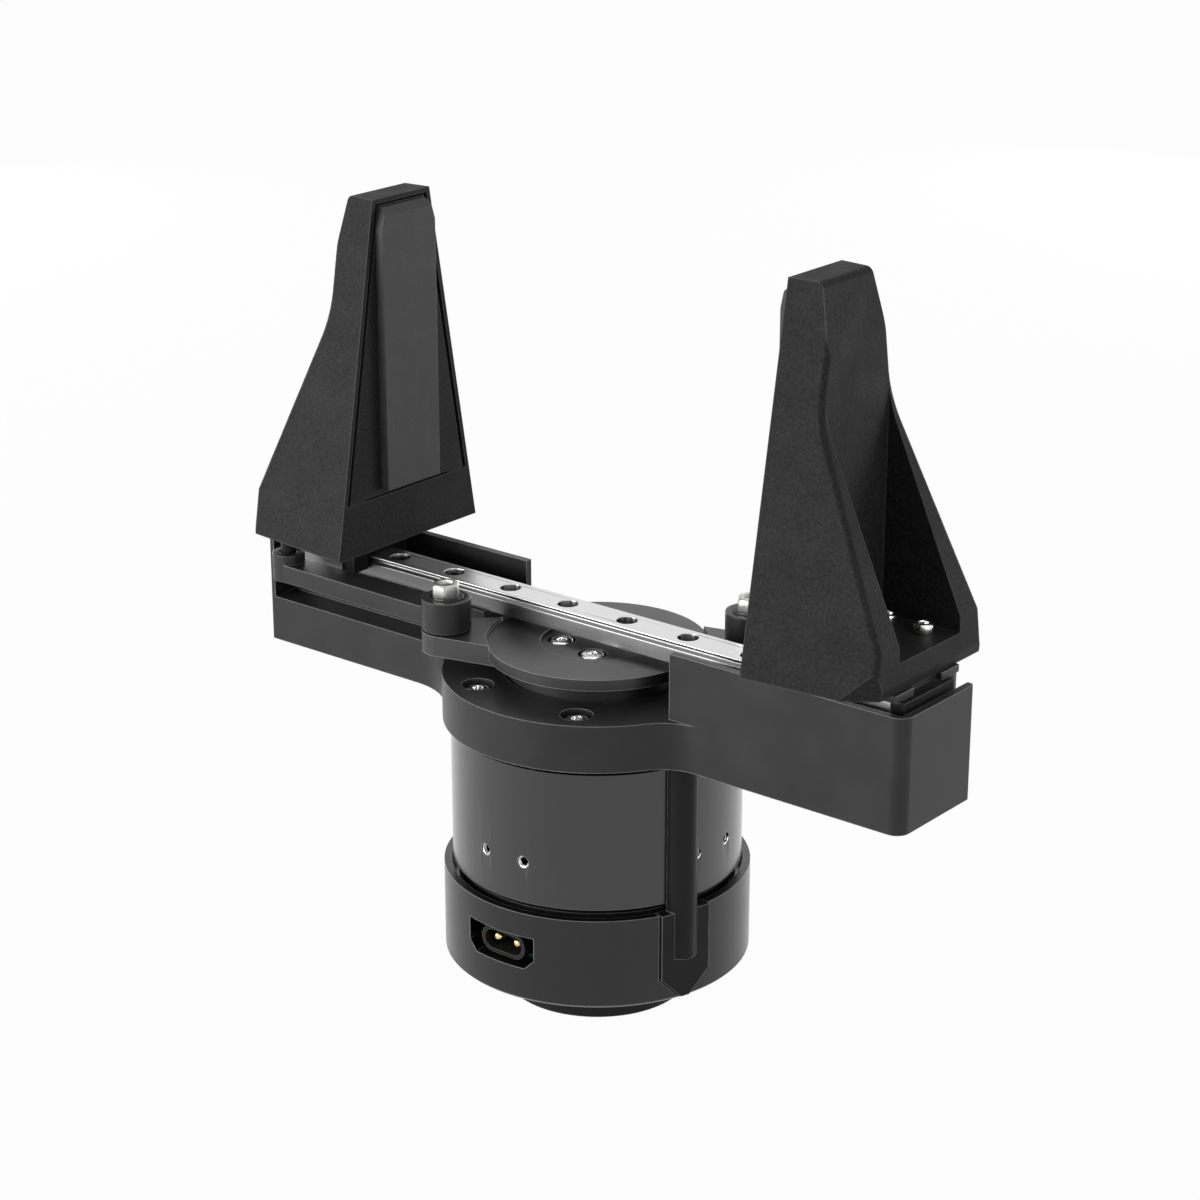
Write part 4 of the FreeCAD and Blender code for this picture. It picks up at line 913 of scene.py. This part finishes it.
class Stock:
    """The loaded frame with its finishes, which every sub-assembly is dressed from.

    Attributes:
        sharp: The turn beyond which a frame node's edge is rounded.
    """

    sharp: ClassVar[float] = math.radians(25)

    def __init__(self, frame: dict) -> None:
        """Read the frame.
        """
        self.nodes = frame["nodes"]
        self.record = frame["record"]
        self.finish = finishes()
        self.slots = {row["node"]: row["material_slot"] for row in self.record["subparts"]}
        groups = self.record["behaviour"]["bodies"]
        self.bodies = {node: body for body, nodes in groups.items() for node in nodes}

    def dress(self, piece: bpy.types.Object, finish: str) -> None:
        """Give a piece one finish all over."""
        piece.data.materials.clear()
        piece.data.materials.append(self.finish[finish])

    def fit(
        self,
        piece: bpy.types.Object,
        node: str,
        slot: str | None = None,
        stands: bool = True,
        finish: str | None = None,
    ) -> None:
        """Dress a new piece and fasten it to the body of a frame node.

        Args:
            piece: The piece.
            node: The node whose body it rides on.
            slot: Its slot; the node's own if left out.
            stands: Whether it takes the node's place.
            finish: Its finish, where that isn't its slot's own.
        """
        slot = slot or self.slots[node]
        self.dress(piece, finish or slot)
        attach(piece, self.bodies[node])
        if stands:
            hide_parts(node)
        LOG.info("%s: %d faces, with %s", piece.name, len(piece.data.polygons), self.bodies[node])

    def soften(self, node: str, width: float, finish: str | None = None) -> None:
        """Finish a frame node, with its sharp edges slightly rounded.

        Args:
            node: The node.
            width: How wide each rounding is.
            finish: Its finish, where that isn't its slot's own.
        """
        piece = self.nodes[node]
        finish = finish or self.slots[node]
        self.dress(piece, finish)
        for face in piece.data.polygons:
            face.use_smooth = True
        piece.modifiers.new("weld", "WELD").merge_threshold = MICRON
        bevel = piece.modifiers.new("edges", "BEVEL")
        bevel.width = width
        bevel.segments = 2
        bevel.limit_method = "ANGLE"
        bevel.angle_limit = self.sharp
        piece.modifiers.new("normals", "WEIGHTED_NORMAL").keep_sharp = False
        LOG.info("%s: dressed in %s", node, finish)


# ---------------------------------------------------------------- fasteners


@dataclass
class SocketScrew:
    """A screw with a socket in its head. It stands on Z = 0, its shank down.

    Attributes:
        crowns: How much of each kind of head's height is rounded off, and in how many faces.
        sockets: Each socket's radius as a share of the head's, and how many hexagons it is cut with.
        head: The kind of head.
        radius: The head's radius.
        height: The head's height.
        shank: The shank's radius.
        length: The shank's length.
        depth: How deep the socket is, as a share of the head's height.
        corners: How far out a hexagon head's corners are, as a share of the radius.
        edge: How wide its broken edges are, as a share of the radius.
        tip: How long the tip is, as a share of the shank's radius.
        taper: How wide the end of the tip is, as a share of the shank.
        clear: How far the flats' cutter reaches, as a share of the head's height or the shank's length.
        past: How high the socket's cutter reaches, as a share of the head's height.
    """

    crowns: ClassVar[dict[Head, tuple[float, int]]] = {
        Head.DOMED: (0.48, 5),
        Head.CAP: (0.20, 3),
        Head.HEXAGON: (0.17, 1),
    }
    sockets: ClassVar[dict[Head, tuple[float, int]]] = {
        Head.DOMED: (0.44, 2),
        Head.CAP: (0.56, 1),
        Head.HEXAGON: (0.54, 1),
    }
    head: Head
    radius: float
    height: float
    shank: float
    length: float
    depth: float = 0.55
    corners: float = 1.04
    edge: float = 0.035
    tip: float = 0.3
    taper: float = 0.7
    clear: float = 2.0
    past: float = 1.5

    def pattern(self, name: str) -> bpy.types.Object:
        """Shape one screw.

        Args:
            name: The pattern's name.

        Returns:
            The finished screw.
        """
        screw = Bench.cylinder(name, self.radius, 0.0, self.height)
        crown, steps = self.crowns[self.head]
        Bench.round_top(screw, self.height * crown, steps)
        self.draw_shank(screw)
        if self.head is Head.HEXAGON:
            flats = self.hexagon("flats", self.corners, -self.clear * self.length, self.clear * self.height)
            Bench.cut(screw, flats, keep=True)
        self.sink_socket(screw)
        Bench.break_edges(screw, self.edge * self.radius)
        return screw

    def hexagon(self, name: str, share: float, low: float, high: float) -> bpy.types.Object:
        """Add a hexagonal cutter.

        Args:
            name: The cutter's name.
            share: How far out its corners are, as a share of the radius.
            low: The height of its foot.
            high: The height of its top.

        Returns:
            The cutter.
        """
        return Bench.cylinder(name, self.radius * share, low, high, HEXAGON_SIDES)

    def draw_shank(self, screw: bpy.types.Object) -> None:
        """Draw the shank out of the underside, down to a tapered tip.

        Args:
            screw: The screw's head.
        """
        tip = self.shank * self.tip
        Bench.faces(screw, looks_down)
        bpy.ops.mesh.inset(thickness=self.radius - self.shank, use_even_offset=True)
        Bench.extrude(tip - self.length)
        Bench.extrude(-tip)
        bpy.ops.transform.resize(value=(self.taper, self.taper, 1.0))
        Bench.leave()

    def sink_socket(self, screw: bpy.types.Object) -> None:
        """Cut the socket: one hexagon, or two turned against each other for a star.

        Args:
            screw: The screw.
        """
        share, hexagons = self.sockets[self.head]
        floor = self.height * (1 - self.depth)
        for index in range(hexagons):
            cutter = self.hexagon("key", share, floor, self.past * self.height)
            cutter.data.transform(Matrix.Rotation(math.pi / HEXAGON_SIDES * index, 4, "Z"))
            Bench.cut(screw, cutter)


@dataclass
class ScrewSet:
    """The screws of one frame node, each made to fill its solid and turned a step further than the last.

    Attributes:
        node: The frame node.
        name: The screws' name, before their number.
        head: The kind of head.
        head_height: How high the head is.
        shank: The shank's radius.
        finish: The finish, where that isn't the slot's own.
        turn: How much further each is turned.
    """

    node: str
    name: str
    head: Head
    head_height: float
    shank: float
    finish: str | None = None
    turn: float = math.radians(37)

    def build(self, stock: Stock) -> None:
        """Make and fasten every screw of the set.

        Args:
            stock: The frame and its finishes.
        """
        blocks = Bench.blocks(stock.nodes[self.node])
        size = blocks[0].size
        screw = SocketScrew(self.head, size.x / 2, self.head_height, self.shank, size.z - self.head_height)
        pattern = screw.pattern("pattern")
        for index, block in enumerate(blocks, start=1):
            seat = Vector((block.middle.x, block.middle.y, block.high.z - self.head_height))
            place = Matrix.Translation(seat) @ Matrix.Rotation(self.turn * index, 4, "Z")
            copy = Bench.copied(pattern, f"{self.name}_{index}", place)
            stock.fit(copy, self.node, finish=self.finish)
        Bench.drop(pattern)


# ---------------------------------------------------------------- sub-assemblies


@dataclass
class MotorUnit:
    """The motor's casings: mounting boss, driver cup, housing and side column, and what shows on them.

    Attributes:
        casings: The finish of each casing.
        edge: How wide the casings' broken edges are.
        line: How high and how deep the black ring of painted shadow under the plate is.
        proud: How far it stands out of the housing.
        line_sides: How many sides it has.
        wire: The radius of a thread insert's wire.
        wire_sides: How many sides the wire has.
        wire_seat: How deep it lies in the wall of its hole, as a share of its radius.
        pitch: The distance from turn to turn.
        turns: How many turns an insert has.
        turn_steps: How many steps a turn has.
    """

    casings: ClassVar[dict[str, str]] = {
        # The boss and the column take the darker copy of the anodise, a painted shade.
        "mounting_boss": "anodised_column",
        "driver_cup": "anodised_cup",
        "motor_housing": "anodised_casings",
        "side_column": "anodised_column",
    }
    edge: float = 0.28 * MM
    line: float = 1.15 * MM
    proud: float = 0.05 * MM
    line_sides: int = 96
    wire: float = 0.21 * MM
    wire_sides: int = 8
    wire_seat: float = 0.6
    pitch: float = 0.5 * MM
    turns: int = 2
    turn_steps: int = 20

    def build(self, stock: Stock) -> None:
        """Dress the casings, and add the black ring of painted shadow under the plate and the thread inserts.

        Args:
            stock: The frame and its finishes.
        """
        for node, finish in self.casings.items():
            stock.soften(node, self.edge, finish)
        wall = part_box("motor_housing")[1].x
        self.add_painted_shadow_ring(stock, wall)
        self.add_inserts(stock, wall)

    def add_painted_shadow_ring(self, stock: Stock, wall: float) -> None:
        """Paint the shadow under the plate's overhang: a thin black ring where the housing meets the plate
        above it.

        Args:
            stock: The frame and its finishes.
            wall: The housing's radius.
        """
        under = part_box("base_plate")[0].z
        foot = under - self.line
        # A black ring standing for the shadow under the plate: painted shadow.
        ring = Bench.cylinder("housing_joint_line", wall + self.proud, foot, under, self.line_sides)
        bore = Bench.cylinder("bore", wall - self.line, foot - self.line, under + self.line, self.line_sides)
        Bench.cut(ring, bore)
        bpy.ops.object.shade_smooth_by_angle(angle=CREASE)
        stock.fit(ring, "motor_housing", "socket_plastic", stands=False, finish="black_seal")

    def add_inserts(self, stock: Stock, wall: float) -> None:
        """Line each of the housing's side holes with a coil of thread.

        Args:
            stock: The frame and its finishes.
            wall: The housing's radius.
        """
        pairs = [mount for mount in stock.record["mounts"] if mount["name"].startswith("side_holes")]
        pattern = self.insert_pattern(wall, pairs[0]["dims"]["hole_r_mm"] * MM)
        for index, pair in enumerate(pairs, start=1):
            facing = math.atan2(pair["axis"][1], pair["axis"][0])
            aside = math.asin(pair["dims"]["spacing_x_mm"] * MM / 2 / wall)
            for letter, angle in (("a", facing - aside), ("b", facing + aside)):
                place = Matrix.Rotation(angle, 4, "Z") @ Matrix.Translation((0, 0, pair["pos_m"][2]))
                copy = Bench.copied(pattern, f"thread_insert_{index}{letter}", place)
                stock.fit(copy, "motor_housing", "screw_steel", stands=False)
        Bench.drop(pattern)

    def insert_pattern(self, wall: float, radius: float) -> bpy.types.Object:
        """Shape one insert: a coil of wire that lines a hole along X.

        Args:
            wall: How far the mouth of the hole is from the axis.
            radius: The hole's radius.

        Returns:
            The insert, at zero height, on the +X side.
        """
        Bench.clear()
        start = (wall - self.pitch * self.turns - self.wire, radius - self.wire * self.wire_seat, 0)
        bpy.ops.mesh.primitive_circle_add(vertices=self.wire_sides, radius=self.wire, location=start)
        piece = Bench.settle()
        coil = piece.modifiers.new("coil", "SCREW")
        coil.axis = "X"
        coil.screw_offset = self.pitch
        coil.iterations = self.turns
        coil.steps = coil.render_steps = self.turn_steps
        bpy.ops.object.modifier_apply(modifier=coil.name)
        bpy.ops.object.mode_set(mode="EDIT")
        bpy.ops.mesh.select_all(action="SELECT")
        bpy.ops.mesh.fill_holes(sides=self.wire_sides)
        bpy.ops.mesh.select_all(action="SELECT")
        bpy.ops.mesh.normals_make_consistent(inside=False)
        Bench.leave()
        bpy.ops.object.shade_smooth_by_angle(angle=2 * CREASE)
        return piece


@dataclass
class PowerPins:
    """The socket's two pins, each with a rounded nose. The nose and the edge are shares of the radius."""

    sides: int = 32
    nose: float = 0.85
    nose_steps: int = 6
    edge: float = 0.02

    def build(self, stock: Stock) -> None:
        """Make and fasten both pins.

        Args:
            stock: The frame and its finishes.
        """
        blocks = Bench.blocks(stock.nodes["socket_pins"])
        radius, length = blocks[0].size.z / 2, blocks[0].size.y
        pattern = Bench.cylinder("pattern", radius, 0.0, length, self.sides)
        Bench.round_top(pattern, radius * self.nose, self.nose_steps)
        Bench.break_edges(pattern, radius * self.edge)
        forward = Matrix.Rotation(math.radians(90), 4, "X")
        for index, block in enumerate(blocks, start=1):
            seat = Matrix.Translation((block.middle.x, block.high.y, block.middle.z))
            stock.fit(Bench.copied(pattern, f"power_pin_{index}", seat @ forward), "socket_pins")
        Bench.drop(pattern)


@dataclass
class Dresser:
    """Finishes and roundings for the frame nodes that need no new shape.

    Attributes:
        widths: How wide the rounding is on each node.
        paired_widths: The same for the nodes that are there once on each side, without the side's name.
        blackened: The nodes of blackened steel, named likewise.
        hidden: How wide it is on every other node.
    """

    widths: ClassVar[dict[str, float]] = {
        "base_plate": 0.30 * MM,
        "linear_rail": 0.18 * MM,
        "crank": 0.28 * MM,
        "output_flange": 0.25 * MM,
        "power_socket": 0.12 * MM,
    }
    paired_widths: ClassVar[dict[str, float]] = {
        "link": 0.30 * MM,
        "carriage_block": 0.20 * MM,
        "carriage_end_caps": 0.25 * MM,
        "carriage_plate": 0.20 * MM,
        "finger": 0.80 * MM,
        "finger_insert": 0.20 * MM,
        "grip_pad": 0.20 * MM,
        "link_bearing": 0.12 * MM,
    }
    blackened: ClassVar[tuple[str, ...]] = ("link_bearing", "link_pin")
    hidden: float = 0.08 * MM

    def build(self, stock: Stock) -> None:
        """Dress every node that is still shown and bare.

        Args:
            stock: The frame and its finishes.
        """
        paired = {f"{stem}_{side}": width for stem, width in self.paired_widths.items() for side in SIDES}
        widths = self.widths | paired
        special = {"crank": "anodised_crank"}
        special |= {f"{stem}_{side}": "blackened_steel" for stem in self.blackened for side in SIDES}
        for node, piece in stock.nodes.items():
            if not piece.hide_render and not piece.modifiers:
                stock.soften(node, widths.get(node, self.hidden), special.get(node))


# ---------------------------------------------------------------- studio


@dataclass
class Softbox:
    """A soft lamp that points at the gripper's middle."""

    name: str
    place: Point
    width: float
    height: float
    power: float
    aim: Point = (0.0, 0.0, 0.08)

    def build(self) -> None:
        """Put the lamp up."""
        data = bpy.data.lights.new(self.name, "AREA")
        data.shape = "RECTANGLE"
        data.size = self.width
        data.size_y = self.height
        data.energy = self.power
        lamp = bpy.data.objects.new(self.name, data)
        bpy.context.scene.collection.objects.link(lamp)
        lamp.location = self.place
        lamp.rotation_euler = (Vector(self.aim) - Vector(self.place)).to_track_quat("-Z", "Y").to_euler()


@dataclass
class Studio:
    """Floor, world, lamps and camera. The lens and the sensor are in millimetres."""

    lamps: ClassVar[tuple[Softbox, ...]] = (
        Softbox("key", (-0.50, -0.85, 0.22), 0.8, 0.5, 14.0),
        Softbox("fill", (0.95, -0.25, 0.35), 0.6, 0.8, 3.5),
        Softbox("top", (0.0, 0.15, 1.0), 0.9, 0.6, 1.6),
        Softbox("left strip", (-0.80, 0.20, 0.08), 0.5, 0.14, 3.0),
        Softbox("back panel", (-0.53, 0.66, 0.40), 0.9, 0.5, 0.35),
        Softbox("back strip", (-0.10, 0.85, 0.08), 0.5, 0.14, 3.0),
        Softbox("right strip", (0.60, 0.70, 0.08), 0.4, 0.14, 2.0),
    )
    azimuth: float = math.radians(39.0)
    elevation: float = math.radians(20.02)
    distance: float = 0.58097
    aim: Point = (0.00017, 0.00065, 0.08199)
    lens: float = 88.6
    sensor: float = 36.0
    nearest: float = 0.01
    farthest: float = 50.0
    floor_size: float = 12.0
    ambient: float = 0.15

    def build(self) -> None:
        """Set the whole studio up."""
        self.add_floor()
        self.add_world()
        for lamp in self.lamps:
            lamp.build()
        self.add_camera()
        bpy.context.scene.view_settings.view_transform = "Standard"

    def add_floor(self) -> None:
        """Lay the floor under the boss's foot."""
        Bench.clear()
        bpy.ops.mesh.primitive_plane_add(size=self.floor_size, location=(0, 0, 0))
        floor = bpy.context.active_object
        floor.name = "floor"
        floor.data.materials.append(Floor().material())

    def add_world(self) -> None:
        """Light evenly from all round, and show white behind the gripper and in its gloss."""
        world = bpy.data.worlds.new("studio")
        bpy.context.scene.world = world
        world.use_nodes = True
        tree = world.node_tree
        lit, seen = tree.nodes["Background"], tree.nodes.new("ShaderNodeBackground")
        for background, strength in ((lit, self.ambient), (seen, 1.0)):
            background.inputs["Color"].default_value = WHITE
            background.inputs["Strength"].default_value = strength
        show(tree, looked_at(tree), lit, seen)

    def add_camera(self) -> None:
        """Stand the camera to the right of the front, a little above."""
        data = bpy.data.cameras.new("camera")
        data.lens = self.lens
        data.sensor_width = self.sensor
        data.clip_start = self.nearest
        data.clip_end = self.farthest
        camera = bpy.data.objects.new("camera", data)
        bpy.context.scene.collection.objects.link(camera)
        level = math.cos(self.elevation)
        back = Vector(
            (math.sin(self.azimuth) * level, -math.cos(self.azimuth) * level, math.sin(self.elevation))
        )
        camera.location = Vector(self.aim) + back * self.distance
        camera.rotation_euler = (-back).to_track_quat("-Z", "Y").to_euler()
        bpy.context.scene.camera = camera


def screw_sets() -> list[ScrewSet]:
    """Every visible set of screws.

    Returns:
        The sets: the plate's, the crank's and the rail's, then those of each side.
    """
    sets = [
        ScrewSet("plate_screws", "plate_screw", Head.DOMED, head_height=1.9 * MM, shank=1.5 * MM),
        ScrewSet("crank_screws", "crank_screw", Head.DOMED, head_height=1.3 * MM, shank=1.25 * MM),
        ScrewSet("rail_screws", "rail_screw", Head.CAP, 1.8 * MM, 1.0 * MM, "blackened_steel"),
    ]
    for side in SIDES:
        finger, bolt = f"finger_screw_{side}", f"link_bolt_screw_{side}"
        sets.append(ScrewSet(f"finger_screws_{side}", finger, Head.CAP, 2.0 * MM, 1.0 * MM))
        sets.append(ScrewSet(f"link_bolt_{side}", bolt, Head.HEXAGON, 2.8 * MM, 2.0 * MM, "bolt_steel"))
    return sets


def main() -> None:
    """Load the frame, dress it, and set the studio up round it."""
    logging.basicConfig(level=logging.INFO, format="%(message)s")
    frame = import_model()
    stock = Stock(frame)
    for group in (MotorUnit(), *screw_sets(), PowerPins(), Dresser()):
        group.build(stock)
    Studio().build()


if __name__ == "__main__":
    main()
